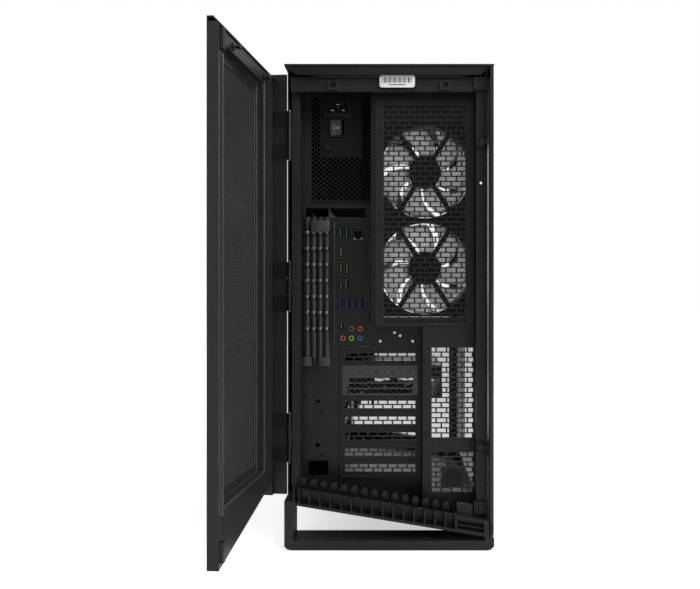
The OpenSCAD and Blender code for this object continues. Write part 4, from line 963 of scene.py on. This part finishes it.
@dataclass
class RearTrim:
    """Small things on the rear bay: label, screw heads, captive thumbscrews and video sockets."""

    video_x: tuple[float, ...] = (-45.0, -24.4, -3.6, 17.2)
    video_size: tuple[float, float] = (16.5, 6.0)
    video_z: float = 201.5
    thumb_x: float = 111.6
    thumb_z: tuple[float, float] = (120.0, 489.0)

    def build(self) -> None:
        """Builds the rear bay's small parts."""
        self.channel_y = corners("rear_side_channel")[0].y
        self.label()
        self.screws()
        self.thumbscrews()
        self.video()
        self.grommet()

    def label(self) -> None:
        """Builds the pale rounded label with blank grey bars."""
        y = corners("rear_top_channel")[0].y - 0.05
        x, z, w, h = 9.7, 563.3, 43.0, 15.0
        plate = Workpiece()
        outline = []
        r = 3.0
        for cx, cy, start in ((w / 2 - r, h / 2 - r, 0), (-w / 2 + r, h / 2 - r, 90),
                              (-w / 2 + r, -h / 2 + r, 180), (w / 2 - r, -h / 2 + r, 270)):
            outline += [(cx + r * math.cos(math.radians(start + a)), cy + r * math.sin(math.radians(start + a)))
                        for a in (0, 30, 60, 90)]
        plate.stamped(outline, 0.35, 0.08, facing_rear(x, y, z))
        plate.finish("bay_label", "chassis", Palette.label, "rocker_plastic")
        bars = Workpiece()
        for i in range(19):
            start = x - 17.5 + i * 1.9
            bars.block((start, y - 0.42, z - 1.8), (start + 0.5 + 0.35 * (i * 5 % 3), y - 0.3, z + 4.6))
        bars.block((x - 10.0, y - 0.42, z - 4.6), (x + 10.0, y - 0.3, z - 3.6))
        bars.finish("bay_label_bars", "chassis", Palette.frame_plastic, "rocker_plastic")

    def screw(self, work: Workpiece, x: float, y: float, z: float, r: float) -> None:
        """Adds one pan-head screw with a cross recess.

        Args:
            work: The mesh it joins.
            x: Its place across.
            y: The face it sits on.
            z: Its height.
            r: Head radius.
        """
        before = set(work.bm.verts)
        work.turned([(0.0, 0.55 * r), (r * 0.35, 0.54 * r), (r * 0.8, 0.42 * r), (r, 0.18 * r), (r, 0.0), (0.0, 0.0)],
                    (0, 0, 0), Axis.Z, 20)
        work.block((-r * 0.55, -r * 0.11, r * 0.5), (r * 0.55, r * 0.11, r * 0.58))
        work.block((-r * 0.11, -r * 0.55, r * 0.5), (r * 0.11, r * 0.55, r * 0.58))
        work.move(work.fresh(before), facing_rear(x, y, z))

    def screws(self) -> None:
        """Adds the screws of the slot field, the supply and the bay's plain plate."""
        recess = corners("rear_recess_panel")[0].y + 2.5
        raised = corners("rear_raised_panel")[0].y + 0.8
        work = Workpiece()
        for x, y, z, r in ((45.9, raised, 222.2, 3.4), (45.9, raised, 131.2, 3.4), (-105.2, recess, 425.0, 2.6),
                           (-105.2, recess, 561.0, 2.6), (-21.8, recess, 425.0, 2.0),
                           (-105.2, recess, 176.0, 2.6), (-84.5, recess, 154.0, 3.0), (-84.5, recess, 100.0, 3.0)):
            self.screw(work, x, y, z, r)
        work.finish("bay_screws", "chassis", Palette.black_steel, "black_steel")

    def thumbscrews(self) -> None:
        """Builds the captive thumbscrews with a knurled rim and a folding D-ring."""
        work = Workpiece()
        x = self.thumb_x
        for z in self.thumb_z:
            before = set(work.bm.verts)
            work.turned([(0.0, 5.2), (5.2, 5.2), (6.2, 4.6), (6.6, 3.9), (6.6, 1.0), (6.0, 0.4), (3.0, 0.0),
                         (0.0, 0.0)], (0, 0, 0), Axis.Z, 40)
            work.block((-4.2, -0.6, 4.9), (4.2, 0.6, 5.5), 0.1)
            for side in (-1, 1):
                work.block((side * 5.2 - 0.8, -1.4, 4.4), (side * 5.2 + 0.8, 1.4, 6.3), 0.3)
            work.turned([(5.5, -0.6), (6.15, 0.0), (5.5, 0.6), (4.85, 0.0), (5.5, -0.6)], (0, 0, 5.7), Axis.Z, 32)
            work.move(work.fresh(before), facing_rear(x, self.channel_y + 5.4, z))
        work.finish("captive_thumbscrews", "chassis", Palette.black_steel, "black_steel",
                    replaces=("panel_thumbscrews",))

    def video(self) -> None:
        """Builds the four video sockets' shells and plugs in the card's bracket."""
        y = corners("rear_recess_panel")[0].y + 2.5
        w, h = self.video_size
        shells, cores = Workpiece(), Workpiece()
        for x in self.video_x:
            mid = self.video_z + h / 2
            shells.cup(w - 0.3, h - 0.3, 0.5, 3.0, facing_rear(x + w / 2, y - 1.1, mid))
            cores.block((x + 3.2, y - 0.4, mid - 0.7), (x + w - 3.2, y + 1.6, mid + 0.7), 0.2)
        shells.finish("video_socket_shells", "chassis", Palette.socket_steel, "bracket_steel", smooth=False)
        cores.finish("video_socket_cores", "chassis", Palette.plastic, "black_plastic")

    def grommet(self) -> None:
        """Lines the round lead hole beside the lower grille."""
        y = corners("rear_raised_panel")[0].y + 0.8
        ring = Workpiece()
        ring.turned([(8.2, -1.0), (8.2, 2.4), (9.5, 2.4), (9.5, 0.0), (11.4, 0.0), (11.4, -0.7), (10.6, -1.3),
                     (8.8, -1.3), (8.2, -1.0)], (78.6, y, 77.8), Axis.Y, 40)
        ring.turned([(0.0, 1.6), (8.6, 1.6), (8.6, 1.0), (0.0, 1.0)], (78.6, y, 77.8), Axis.Y, 40)
        ring.finish("lead_hole_grommet", "chassis", Palette.rubber, "black_rubber")


@dataclass
class SupplyFace:
    """Inlet pins and frame and rocker marks on the power supply's rear face."""

    inlet: tuple[float, float] = (-66.0, 545.0)
    rocker: tuple[float, float] = (-66.5, 518.5)

    def build(self) -> None:
        """Builds the face's small parts."""
        self.y = corners("psu_case")[0].y
        x, z = self.inlet
        rim = Workpiece()
        rim.cup(27.6, 19.6, 0.8, 14.0, facing_rear(x, self.y - 3.3, z))
        rim.finish("inlet_lining", "chassis", Palette.plastic, "black_plastic", smooth=False)
        pins = Workpiece()
        for dx, dz in ((0.0, 4.0), (-7.0, -3.5), (7.0, -3.5)):
            pins.block((x + dx - 2.1, self.y - 1.2, z + dz - 1.1), (x + dx + 2.1, self.y + 10.0, z + dz + 1.1), 0.3)
        pins.finish("inlet_pins", "chassis", Palette.steel, "bracket_steel")
        self.marks()

    def marks(self) -> None:
        """Raises the generic line and ring marks on the rocker's two halves."""
        x, z = self.rocker
        pivot = Vector((x, self.y + 4.6, z))
        tilt = Matrix.Translation(pivot) @ Matrix.Rotation(math.radians(-10), 4, "Z")
        work = Workpiece()
        flat = math.radians(10.1)
        left = tilt @ Matrix.Rotation(flat, 4, "Z")
        work.block((-4.4, -7.25, -2.4), (-3.7, -6.95, 2.4), 0.1, left)
        before = set(work.bm.verts)
        work.turned([(1.5, -0.15), (2.1, -0.15), (2.1, 0.2), (1.5, 0.2), (1.5, -0.15)], (0, 0, 0), Axis.Y, 28)
        right = tilt @ Matrix.Rotation(-flat, 4, "Z") @ Matrix.Translation((4.0, -7.1, 0))
        work.move(work.fresh(before), right)
        work.finish("rocker_marks", "rocker", Palette.label, "rocker_plastic")


@dataclass
class SleevedLeads:
    """Braided leads: the column behind the rear cover, the board lead and the card lead."""

    radius: float = 2.6

    def run(self, work: Workpiece, points: Sequence[Point], radius: float, steps: int = 26, sides: int = 14) -> None:
        """Sweeps a round section along a smooth cubic through four control points.

        Args:
            work: The mesh that it joins.
            points: The curve's four control points.
            radius: Radius of the lead.
            steps: Sections along it.
            sides: Facets round it.
        """
        p = [Vector(q) for q in points]

        def where(t: float) -> Vector:
            """Returns the point at t."""
            u = 1 - t
            return u ** 3 * p[0] + 3 * u * u * t * p[1] + 3 * u * t * t * p[2] + t ** 3 * p[3]

        def heading(t: float) -> Vector:
            """Returns the direction at t."""
            u = 1 - t
            return (3 * u * u * (p[1] - p[0]) + 6 * u * t * (p[2] - p[1]) + 3 * t * t * (p[3] - p[2])).normalized()

        circle = bmesh.ops.create_circle(work.bm, cap_ends=True, segments=sides, radius=radius)["verts"]
        way = heading(0.0)
        turn = Vector((0, 0, 1)).rotation_difference(way)
        bmesh.ops.rotate(work.bm, cent=(0, 0, 0), matrix=turn.to_matrix(), verts=circle)
        bmesh.ops.translate(work.bm, vec=where(0.0), verts=circle)
        face = next(f for f in circle[0].link_faces)
        for i in range(1, steps + 1):
            t = i / steps
            grown = bmesh.ops.extrude_face_region(work.bm, geom=[face])["geom"]
            if i > 1:
                bmesh.ops.delete(work.bm, geom=[face], context="FACES_ONLY")
            face = next(g for g in grown if isinstance(g, bmesh.types.BMFace))
            verts = list(face.verts)
            now = heading(t)
            bmesh.ops.rotate(work.bm, cent=where((i - 1) / steps), matrix=way.rotation_difference(now).to_matrix(),
                             verts=verts)
            bmesh.ops.translate(work.bm, vec=where(t) - where((i - 1) / steps), verts=verts)
            way = now

    def build(self) -> None:
        """Builds every lead and stands them for the plain ones."""
        low, high = corners("cable_rack")
        step = (high.x - low.x - 2.0) / 4
        column = Workpiece()
        for c in range(4):
            x, y = low.x + 1.0 + (c + 0.5) * step, low.y + 5.3
            sway = 0.15 if c % 2 else -0.15
            self.run(column, [(x, y, 224.0), (x + sway, y, 290.0), (x - sway, y, 345.0), (x, y + 3.0, 402.0)],
                     self.radius)
            self.run(column, [(x + 0.8, y + 5.6, 216.0), (x, y + 5.4, 290.0), (x, y + 5.4, 345.0), (x, y + 6.0, 404.0)],
                     self.radius)
        column.finish("rear_lead_column", "chassis", Palette.sleeve, "hose_rubber", replaces=("power_cables",))
        clips = Workpiece()
        for row in range(7):
            for c in range(4):
                clips.turned([(2.62, -1.7), (2.95, -1.5), (3.05, 0.0), (2.95, 1.5), (2.62, 1.7), (2.62, -1.7)],
                             (low.x + 1.0 + (c + 0.5) * step, low.y + 5.3, 262.0 + row * 20.32), Axis.Z, 20)
        clips.finish("rear_lead_clips", "chassis", Palette.clip_nickel, "bracket_steel")
        plugs = Workpiece()
        for x in (low.x + 5.0, high.x - 10.0):
            plugs.block((x - 5.5, low.y + 1.0, 214.0), (x + (9.5 if x > -90 else 5.5), low.y + 12.5, 226.0), 0.8)
        plugs.block((low.x + 10.0, low.y + 1.0, 384.0), (high.x - 1.0, low.y + 13.0, 399.0), 0.8)
        plugs.finish("rear_lead_plugs", "chassis", Palette.plug_plastic, "black_plastic")
        self.inside_leads()

    def inside_leads(self) -> None:
        """Builds the leads in the main chamber with their plugs."""
        board = corners("motherboard")[1]
        work, plugs = Workpiece(), Workpiece()
        for row in range(2):
            for i in range(8):
                z = 266.0 + i * 6.2
                x = BOARD_FACE + 12.0 + row * 5.6
                self.run(work, [(TRAY_X + 2, 329.0 + row * 5, z + 4), (TRAY_X + 34 + row * 8, 330.0 + row * 5, z + 8),
                                (x + 26, 312.0, z + 2), (x, board.y - 6.5, z)], 2.0, 20, 10)
        plugs.block((BOARD_FACE + 1.0, board.y - 12.0, 262.5), (BOARD_FACE + 14.5, board.y - 1.2, 314.5), 0.5)
        for i in range(8):
            z, x = gpu_lead_place(i)
            self.run(work, [(TRAY_X + 2, 331.0, 228.0 + (i % 4) * 7), (-28.0, 352.0, 250.0 + (i % 4) * 5),
                            (x, 238.0 + (i // 4) * 5.0, 262.0), (x, 238.0 + (i // 4) * 5.0, z)], 1.9, 22, 10)
        low = gpu_lead_place(3)[1] - 3.0
        plugs.block((low, 233.5, 213.6), (gpu_lead_place(0)[1] + 3.0, 247.5, 226.0), 0.5)
        work.finish("board_and_card_leads", "chassis", Palette.sleeve, "hose_rubber", replaces=("power_cables",))
        plugs.finish("board_and_card_plugs", "chassis", Palette.plastic, "black_plastic")
        combs = Workpiece()
        combs.block((-40.0, 330.0, 262.0), (-38.0, 339.0, 320.0), 0.4)
        combs.finish("lead_comb", "chassis", Palette.plastic, "black_plastic")


def gpu_lead_place(index: int) -> tuple[float, float]:
    """Returns the height and place across of one graphics lead's end."""
    return 224.0, 56.0 - (index % 4) * 4.4


@dataclass
class Cooling:
    """Pump cap, smooth braided hoses with collars, and the radiator's fins."""

    hose_r: float = 6.0
    fitting: tuple[float, float] = (-52.0, 172.0)
    fitting_len: float = 26.05

    def build(self) -> None:
        """Builds the cooling details."""
        rad_lo, rad_hi = corners("radiator")
        pump_hi = corners("pump_head")[1]
        y_mid = (rad_lo.y + rad_hi.y) / 2
        top, end = 497.5, -39.75
        hoses = Workpiece()
        leads = SleevedLeads()
        reach_out = self.fitting_len * math.sqrt(0.5)
        x0, y0 = self.fitting[0] + reach_out, self.fitting[1] + reach_out
        for z, out, reach, y1 in ((345.0, 26.0, 72.0, 382.0), (325.0, 52.0, 96.0, 418.0)):
            leads.run(hoses, [(x0, y0, z), (x0 + out, y0 + out, z), (end + reach, y1, top), (end, y1, top)],
                      self.hose_r, 36, 24)
        hoses.finish("braided_hoses", "chassis", Palette.hose, "hose_rubber", replaces=("coolant_hoses",))
        collars = Workpiece()
        for side in (-28.0, 8.0):
            collars.turned([(6.1, 0.0), (7.4, 0.4), (7.6, 2.0), (7.6, 9.0), (7.2, 10.0), (6.1, 10.0), (6.1, 0.0)],
                           (end - 9.0, y_mid + side, top), Axis.X, 32)
        for z in (325.0, 345.0):
            before = set(collars.bm.verts)
            collars.turned([(6.1, 0.0), (7.2, 0.4), (7.4, 1.5), (7.4, 8.0), (7.0, 9.0), (6.1, 9.0), (6.1, 0.0)],
                           (18.0, 0.0, 0.0), Axis.X, 32)
            slanted = Matrix.Translation((*self.fitting, z)) @ Matrix.Rotation(math.pi / 4, 4, "Z")
            collars.move(collars.fresh(before), slanted)
        collars.finish("hose_collars", "chassis", Palette.anodised, "anodised_metal")
        self.cap(pump_hi)
        self.fins(rad_lo, rad_hi)

    def cap(self, high: Vector) -> None:
        """Builds the pump's dished cap with a lit ring."""
        x, (y, z) = high.x, PUMP_CENTRE
        cap = Workpiece()
        cap.turned([(0.0, 0.6), (20.0, 0.6), (22.0, 1.2), (24.0, 1.2), (24.6, 0.4)], (x, y, z), Axis.X, 64)
        cap.turned([(27.0, 0.2), (27.4, 1.4), (29.0, 1.4), (29.6, 0.2)], (x, y, z), Axis.X, 64)
        cap.finish("pump_cap", "chassis", Palette.gloss_plastic, "black_plastic")
        ring = Workpiece()
        ring.turned([(24.6, 0.2), (25.0, 0.9), (26.6, 0.9), (27.0, 0.2)], (x, y, z), Axis.X, 64)
        ring.finish("pump_light_ring", "chassis", Palette.glow, "frosted_blades")

    def fins(self, low: Vector, high: Vector) -> None:
        """Fills the radiator's windows with folded fins."""
        mid = (low.y + high.y) / 2
        work = Workpiece()
        for column in range(12):
            y = mid - 56.0 + column * 9.6
            before = set(work.bm.verts)
            work.block((low.x + 1.5, y + 0.1, 136.0), (high.x - 11.5, y + 5.9, 136.45))
            piece = work.fresh(before)
            geom = piece + [e for e in work.bm.edges if e.verts[0] in set(piece)]
            geom += [f for f in work.bm.faces if f.verts[0] in set(piece)]
            for level in range(1, 98):
                work.repeat(geom, Matrix.Translation((0, 0, level * 3.5)))
        work.finish("radiator_fins", "chassis", Palette.anodised, "anodised_metal", smooth=False)


@dataclass
class BoardDetail:
    """Chips, capacitors, slot mouths, light bars and shroud lines that show through the glass."""

    face: float = BOARD_FACE

    def build(self) -> None:
        """Builds the electronics' details."""
        self.chips()
        self.capacitors()
        self.slots()
        self.memory()
        self.covers()
        self.card()

    def chips(self) -> None:
        """Adds low black packages over the board."""
        work = Workpiece()
        for y, z, w, h in ((112, 262, 8, 8), (122, 270, 5, 6), (96, 215, 9, 9), (80, 184, 7, 7), (76, 150, 7, 7),
                           (240, 200, 10, 10), (262, 208, 6, 6), (282, 188, 7, 9), (210, 120, 6, 8), (140, 112, 8, 6),
                           (175, 112, 6, 6), (230, 232, 5, 5), (252, 236, 5, 5), (290, 232, 8, 6), (96, 120, 6, 6)):
            work.block((self.face, y - w / 2, z - h / 2), (self.face + 1.2, y + w / 2, z + h / 2), 0.15)
        for i in range(9):
            y = 122.0 + i * 9.6
            work.block((self.face, y - 3.6, 362.0), (self.face + 4.0, y + 3.6, 369.5), 0.5)
        for i in range(8):
            work.block((self.face, 110.0, 296.0 + i * 9.6), (self.face + 4.0, 117.0, 303.2 + i * 9.6), 0.5)
        work.finish("board_chips", "chassis", Palette.plastic, "black_plastic")

    def capacitors(self) -> None:
        """Adds rows of round capacitors."""
        work = Workpiece()
        spots = [(124.0 + i * 7.2, 355.0) for i in range(10)] + [(96.0 + i * 9.0, 105.0) for i in range(5)]
        spots += [(226.0, 262.0 + i * 12.0) for i in range(9)] + [(214.0, 150.0), (214.0, 160.0)]
        for y, z in spots:
            work.turned([(0.0, 6.0), (2.3, 6.0), (2.8, 5.5), (2.8, 0.4), (2.5, 0.0)], (self.face, y, z), Axis.X, 16)
        work.finish("board_capacitors", "chassis", Palette.steel, "anodised_metal")

    def slots(self) -> None:
        """Adds the card slots' bright shells and the header pins."""
        work = Workpiece()
        for index in (4, 6):
            z = 235.3 - (index + 0.5) * 20.32
            work.block((self.face + 11.0, 116.5, z - 1.1), (self.face + 11.2, 200.0, z + 1.1))
        for i in range(12):
            work.block((self.face, 100.0 + i * 2.6, 101.0), (self.face + 8.0, 100.7 + i * 2.6, 101.7))
            work.block((self.face, 150.0 + i * 2.6, 101.0), (self.face + 8.0, 150.7 + i * 2.6, 101.7))
        work.finish("board_pins", "chassis", Palette.gold, "bracket_steel", smooth=False)

    def memory(self) -> None:
        """Adds the frosted light bars and grooved spreaders of the memory."""
        bars, ribs = Workpiece(), Workpiece()
        low, high = corners("memory_modules")
        for i in range(4):
            y = low.y + 0.8 + 2.1 + i * 10.0
            bars.block((high.x - 0.4, y - 1.7, low.z + 9.0), (high.x + 2.2, y + 1.7, high.z - 9.0), 0.8)
            for k in range(6):
                z = low.z + 18.0 + k * 19.0
                for side in (-1, 1):
                    at_y = y + side * 3.1
                    ribs.block((low.x + 8.0, at_y - 0.35, z), (low.x + 28.0, at_y + 0.35, z + 9.0), 0.2)
        bars.finish("memory_light_bars", "chassis", Palette.glow, "frosted_blades")
        ribs.finish("memory_spreader_ribs", "chassis", Palette.anodised, "anodised_metal")

    def covers(self) -> None:
        """Adds raised brushed plates on the board's heat sinks."""
        work = Workpiece()
        work.block((self.face + 12.0, 223.0, 107.0), (self.face + 13.2, 297.0, 162.0), 0.5)
        work.block((self.face + 9.0, 123.0, 225.0), (self.face + 10.0, 225.0, 241.0), 0.4)
        work.block((self.face + 38.0, 93.0, 294.0), (self.face + 39.2, 105.0, 390.0), 0.4)
        work.finish("heat_sink_plates", "chassis", Palette.bright_plate, "anodised_metal")

    def card(self) -> None:
        """Adds shroud ribs, a backplate relief and the card's lit edge bar."""
        low, high = corners("graphics_shroud")
        ribs = Workpiece()
        for i in range(4):
            y = low.y + 14.0 + i * 46.0
            ribs.block((low.x + 16.0, y, high.z), (high.x - 6.0, y + 22.0, high.z + 0.8), 0.3)
        ribs.block((high.x, low.y + 4.0, low.z + 4.0), (high.x + 0.9, high.y - 4.0, low.z + 12.0), 0.35)
        ribs.block((high.x, low.y + 60.0, low.z + 16.0), (high.x + 0.9, high.y - 60.0, high.z - 6.0), 0.35)
        ribs.finish("card_shroud_relief", "chassis", Palette.bright_plate, "black_plastic")
        bar = Workpiece()
        bar.block((high.x, low.y + 14.0, low.z + 13.0), (high.x + 0.8, high.y - 14.0, low.z + 14.6), 0.3)
        bar.finish("card_light_bar", "chassis", Palette.glow, "frosted_blades")


@dataclass
class FrontStrip:
    """Rings and marks round the front buttons and sockets."""

    def build(self) -> None:
        """Builds the strip's details."""
        low, high = corners("power_button")
        centre = (low + high) / 2
        face = corners("front_trim")[1].y
        ring = Workpiece()
        ring.turned([(7.1, -0.2), (7.2, 0.25), (7.9, 0.25), (8.1, -0.2)], (centre.x, face, centre.z), Axis.Y, 48)
        ring.finish("power_button_ring", "chassis", Palette.steel, "hinge_steel")
        mark = Workpiece()
        mark.turned([(2.2, 0.0), (2.2, 0.02), (2.9, 0.02), (2.9, 0.0)], (centre.x, high.y, centre.z), Axis.Y, 32)
        mark.block((centre.x - 0.35, high.y - 0.2, centre.z + 0.6), (centre.x + 0.35, high.y + 0.02, centre.z + 3.8))
        mark.finish("power_button_mark", "power_key", Palette.label, "black_plastic")
        tongues = Workpiece()
        for x in (-20.0, 0.0):
            z = 35.6 - math.tan(math.radians(9.4)) * x + 13.5
            tongues.block((x - 5.0, face - 6.6, z + 0.2), (x + 5.0, face - 1.4, z + 1.8), 0.2)
        tongues.finish("front_socket_tongues", "chassis", Palette.accents["blue"], "black_plastic")


@dataclass
class CoverDetail:
    """Rivets and a stiffening bead on the inside of the rear cover."""

    def build(self) -> None:
        """Builds the cover's inner details."""
        rear = corners("rear_foot")[0].y
        place = swing()
        dots = Workpiece()
        for z in (110.0, 222.0, 334.0, 446.0, 545.0):
            for x in (-78.0, 111.0):
                dots.turned([(0.0, 0.9), (1.4, 0.8), (2.2, 0.3), (2.4, 0.0)], (x, rear + 12.0, z), Axis.Y, 20)
        dots.finish("cover_rivets", "rear_cover", Palette.black_steel, "black_steel", matrix=place)
        bead = Workpiece()
        for x0, x1, z0, z1 in ((-74.5, -73.5, 96.0, 556.0), (107.2, 108.2, 96.0, 556.0), (-74.5, 108.2, 95.6, 96.4)):
            bead.block((x0, rear + 11.9, z0), (x1, rear + 12.5, z1), 0.2)
        bead.finish("cover_window_bead", "rear_cover", Palette.cover_inside, "inner_coat", matrix=place)


@dataclass
class GlassBorder:
    """The dark printed border round the inner face of a glass panel, a narrow dark strip along the side panel's rear
    edge, and a black film over that edge's face that is painted shade.
    """

    width: float = 14.0
    rear_width: float = 32.0
    film: float = 0.1

    def build(self) -> None:
        """Builds the borders of both glass panels."""
        low, high = corners("glass_side_panel")
        side = Workpiece()
        for y0, y1, z0, z1 in ((low.y, low.y + self.rear_width, low.z, high.z),
                               (high.y - self.width, high.y, low.z, high.z),
                               (low.y, high.y, high.z - self.width, high.z)):
            side.block((low.x - self.film, y0, z0), (low.x, y1, z1))
        # This black film over the rear edge face is painted shade: it stands in for the dark look of the thick glass
        # edge.
        side.block((low.x, low.y - self.film, low.z + 16.0), (high.x - 0.3, low.y, high.z))
        side.block((low.x - 1.1, low.y + 2.0, low.z + 16.0), (low.x - self.film, low.y + 9.0, high.z - 12.0), 0.3)
        side.finish("side_glass_border_and_edge_shade", "glass_side", Palette.border, "black_plastic", smooth=False)
        low, high = corners("front_glass")
        front = Workpiece()
        for x0, x1, z0, z1 in ((low.x, low.x + self.width, low.z, high.z),
                               (high.x - self.width, high.x, low.z, high.z),
                               (low.x, high.x, high.z - self.width, high.z)):
            front.block((x0, low.y - self.film, z0), (x1, low.y, z1))
        front.finish("front_glass_border", "chassis", Palette.border, "black_plastic", smooth=False)


@dataclass
class Studio:
    """The camera, lights and pale floor."""

    distance: float = 1104.0
    eye: float = 312.0
    lens: float = 47.7
    slide: float = -0.056
    lift: float = -0.0079

    def build(self) -> None:
        """Sets up the studio round the tower."""
        self.camera()
        self.floor()
        self.light()

    def camera(self) -> None:
        """Places the camera behind the tower, level, looking along +Y."""
        rear = corners("rear_foot")[0].y
        data = bpy.data.cameras.new("camera")
        data.lens, data.sensor_width = self.lens, 36.0
        data.shift_x, data.shift_y = self.slide, self.lift
        data.clip_start, data.clip_end = 0.05, 60.0
        camera = bpy.data.objects.new("camera", data)
        camera.location = Vector((0, rear - self.distance, self.eye)) * MM
        camera.rotation_euler = (math.pi / 2, 0, 0)
        bpy.context.scene.collection.objects.link(camera)
        bpy.context.scene.camera = camera

    def floor(self) -> None:
        """Lays the plain floor."""
        bm = bmesh.new()
        bmesh.ops.create_grid(bm, x_segments=1, y_segments=1, size=14.0)
        mesh = bpy.data.meshes.new("studio_floor")
        bm.to_mesh(mesh)
        bm.free()
        floor = bpy.data.objects.new("studio_floor", mesh)
        recipe = Recipe("studio_floor_paint")
        tone = recipe.group(grain_group(), Scale=20.0, Drift=1.0)
        recipe.link(recipe.ramp(tone.outputs["Tone"], (0.86, 0.86, 0.86), (0.9, 0.9, 0.9)),
                    recipe.shader.inputs["Base Color"])
        recipe.shader.inputs["Roughness"].default_value = 0.9
        seen = recipe.add("ShaderNodeLightPath")
        glow = recipe.add("ShaderNodeMath", operation="MULTIPLY")
        glow.inputs[1].default_value = 0.56
        recipe.link(seen.outputs["Is Camera Ray"], glow.inputs[0])
        recipe.link(glow.outputs[0], recipe.shader.inputs["Emission Strength"])
        recipe.shader.inputs["Emission Color"].default_value = (1.0, 1.0, 1.0, 1.0)
        mesh.materials.append(recipe.material)
        bpy.context.scene.collection.objects.link(floor)

    def lamp(self, name: str, place: Point, size: float, power: float, aim: Point) -> None:
        """Adds one soft square light.

        Args:
            name: Its name.
            place: Its position in metres.
            size: Side of the square in metres.
            power: Watts.
            aim: The point it looks at.
        """
        data = bpy.data.lights.new(name, "AREA")
        data.size, data.energy = size, power
        lamp = bpy.data.objects.new(name, data)
        lamp.location = place
        lamp.rotation_euler = (Vector(aim) - Vector(place)).to_track_quat("-Z", "Y").to_euler()
        bpy.context.scene.collection.objects.link(lamp)

    def light(self) -> None:
        """Adds the white surroundings and the soft lights."""
        world = bpy.data.worlds.new("studio_white")
        world.use_nodes = True
        tree = world.node_tree
        sky = tree.nodes["Background"]
        sky.inputs["Color"].default_value = (1.0, 1.0, 1.0, 1.0)
        path = tree.nodes.new("ShaderNodeLightPath")
        seen = tree.nodes.new("ShaderNodeMath")
        seen.operation = "MAXIMUM"
        tree.links.new(path.outputs["Is Camera Ray"], seen.inputs[0])
        tree.links.new(path.outputs["Is Transmission Ray"], seen.inputs[1])
        place = tree.nodes.new("ShaderNodeTexCoord")
        split = tree.nodes.new("ShaderNodeSeparateXYZ")
        tree.links.new(place.outputs["Generated"], split.inputs[0])
        above = tree.nodes.new("ShaderNodeMapRange")
        above.inputs["To Min"].default_value, above.inputs["To Max"].default_value = 0.2, 0.75
        tree.links.new(split.outputs["Z"], above.inputs["Value"])
        power = tree.nodes.new("ShaderNodeMix")
        tree.links.new(seen.outputs[0], power.inputs[0])
        tree.links.new(above.outputs["Result"], power.inputs[2])
        power.inputs[3].default_value = 1.0
        tree.links.new(power.outputs[0], sky.inputs["Strength"])
        bpy.context.scene.world = world
        self.lamp("key_light", (1.6, -2.2, 2.2), 2.0, 42.0, (0.0, 0.1, 0.3))
        self.lamp("cover_light", (2.0, -0.9, 1.0), 0.7, 22.0, (-0.15, -0.1, 0.35))
        self.lamp("fill_light", (-2.4, -1.6, 1.4), 1.8, 25.0, (0.0, 0.1, 0.3))
        bpy.context.scene.view_settings.view_transform = "Standard"


def swing(angle: float = OPEN_ANGLE) -> Matrix:
    """Returns the turn that takes the closed rear cover to its stored open pose."""
    joint = next(j for j in frame["joints"] if j["name"] == "rear_cover_hinge")
    pin = Vector(joint["pos_m"]) / MM
    pin.z = 0.0
    return Matrix.Translation(pin) @ Matrix.Rotation(math.radians(-angle), 4, "Z") @ Matrix.Translation(-pin)


def build_vents() -> None:
    """Builds the three mesh sheets."""
    rear = corners("rear_foot")[0].y
    side_lo, side_hi = corners("side_vent_mesh")
    top_lo, top_hi = corners("top_vent_mesh")
    sheets = [
        VentLattice("cover_lattice", "door_mesh", "rear_cover", 173.2, 458.2,
                    swing() @ facing_rear((-70 + 103.5) / 2, rear + 0.6, (100 + 558.5) / 2)),
        VentLattice("side_lattice", "side_vent_mesh", "steel_side", side_hi.y - side_lo.y, side_hi.z - side_lo.z,
                    Matrix.Translation(((side_lo.x + side_hi.x) / 2, (side_lo.y + side_hi.y) / 2,
                                        (side_lo.z + side_hi.z) / 2))
                    @ Matrix.Rotation(-math.pi / 2, 4, "Z") @ Matrix.Rotation(math.pi / 2, 4, "X"),
                    pitch=3.4, bar=0.95, strips=2),
        VentLattice("top_lattice", "top_vent_mesh", "top_lid", top_hi.x - top_lo.x, top_hi.y - top_lo.y,
                    Matrix.Translation(((top_lo.x + top_hi.x) / 2, (top_lo.y + top_hi.y) / 2,
                                        (top_lo.z + top_hi.z) / 2)),
                    pitch=3.4, bar=0.95, strips=2),
    ]
    for sheet in sheets:
        sheet.build()


def build_fans() -> None:
    """Builds the rotors of the rear and radiator fans."""
    for level, z in REAR_FANS:
        low, _ = corners("rear_fan_frames")
        CaseFan(f"rear_fan_{level}", f"rear_fan_rotor_{level}", f"{level}_rear_rotor", (44.0, low.y, z), Axis.Y).build()
    low, high = corners("radiator_fan_frames")
    for level, z in RADIATOR_FANS:
        CaseFan(f"radiator_fan_{level}", f"radiator_fan_rotor_{level}", f"{level}_radiator_rotor",
                (low.x, (low.y + high.y) / 2, z), Axis.X).build()
    case_lo, case_hi = corners("psu_case")
    BladeRotor("supply_fan", "psu_fan_rotor", "supply_rotor",
               (case_lo.x + 3.6, (case_lo.y + case_hi.y) / 2, (case_lo.z + case_hi.z) / 2), Axis.X,
               66.0, 23.5, 9, 16.0).build()
    for end, y in GRAPHICS_FANS:
        BladeRotor(f"graphics_fan_{end}", f"graphics_fan_rotor_{end}", f"{end}_graphics_rotor",
                   (6.0, y, 170.2), Axis.Z, 42.6, 17.0, 11, 6.0).build()


def main() -> None:
    """Builds every sub-assembly in order."""
    logging.basicConfig(level=logging.INFO, format="%(message)s")
    Coverings().dress()
    Studio().build()
    build_vents()
    build_fans()
    for part in (Sockets(), RearTrim(), SupplyFace(), SleevedLeads(), Cooling(), BoardDetail(), FrontStrip(),
                 CoverDetail(), GlassBorder()):
        part.build()


if __name__ == "__main__":
    main()
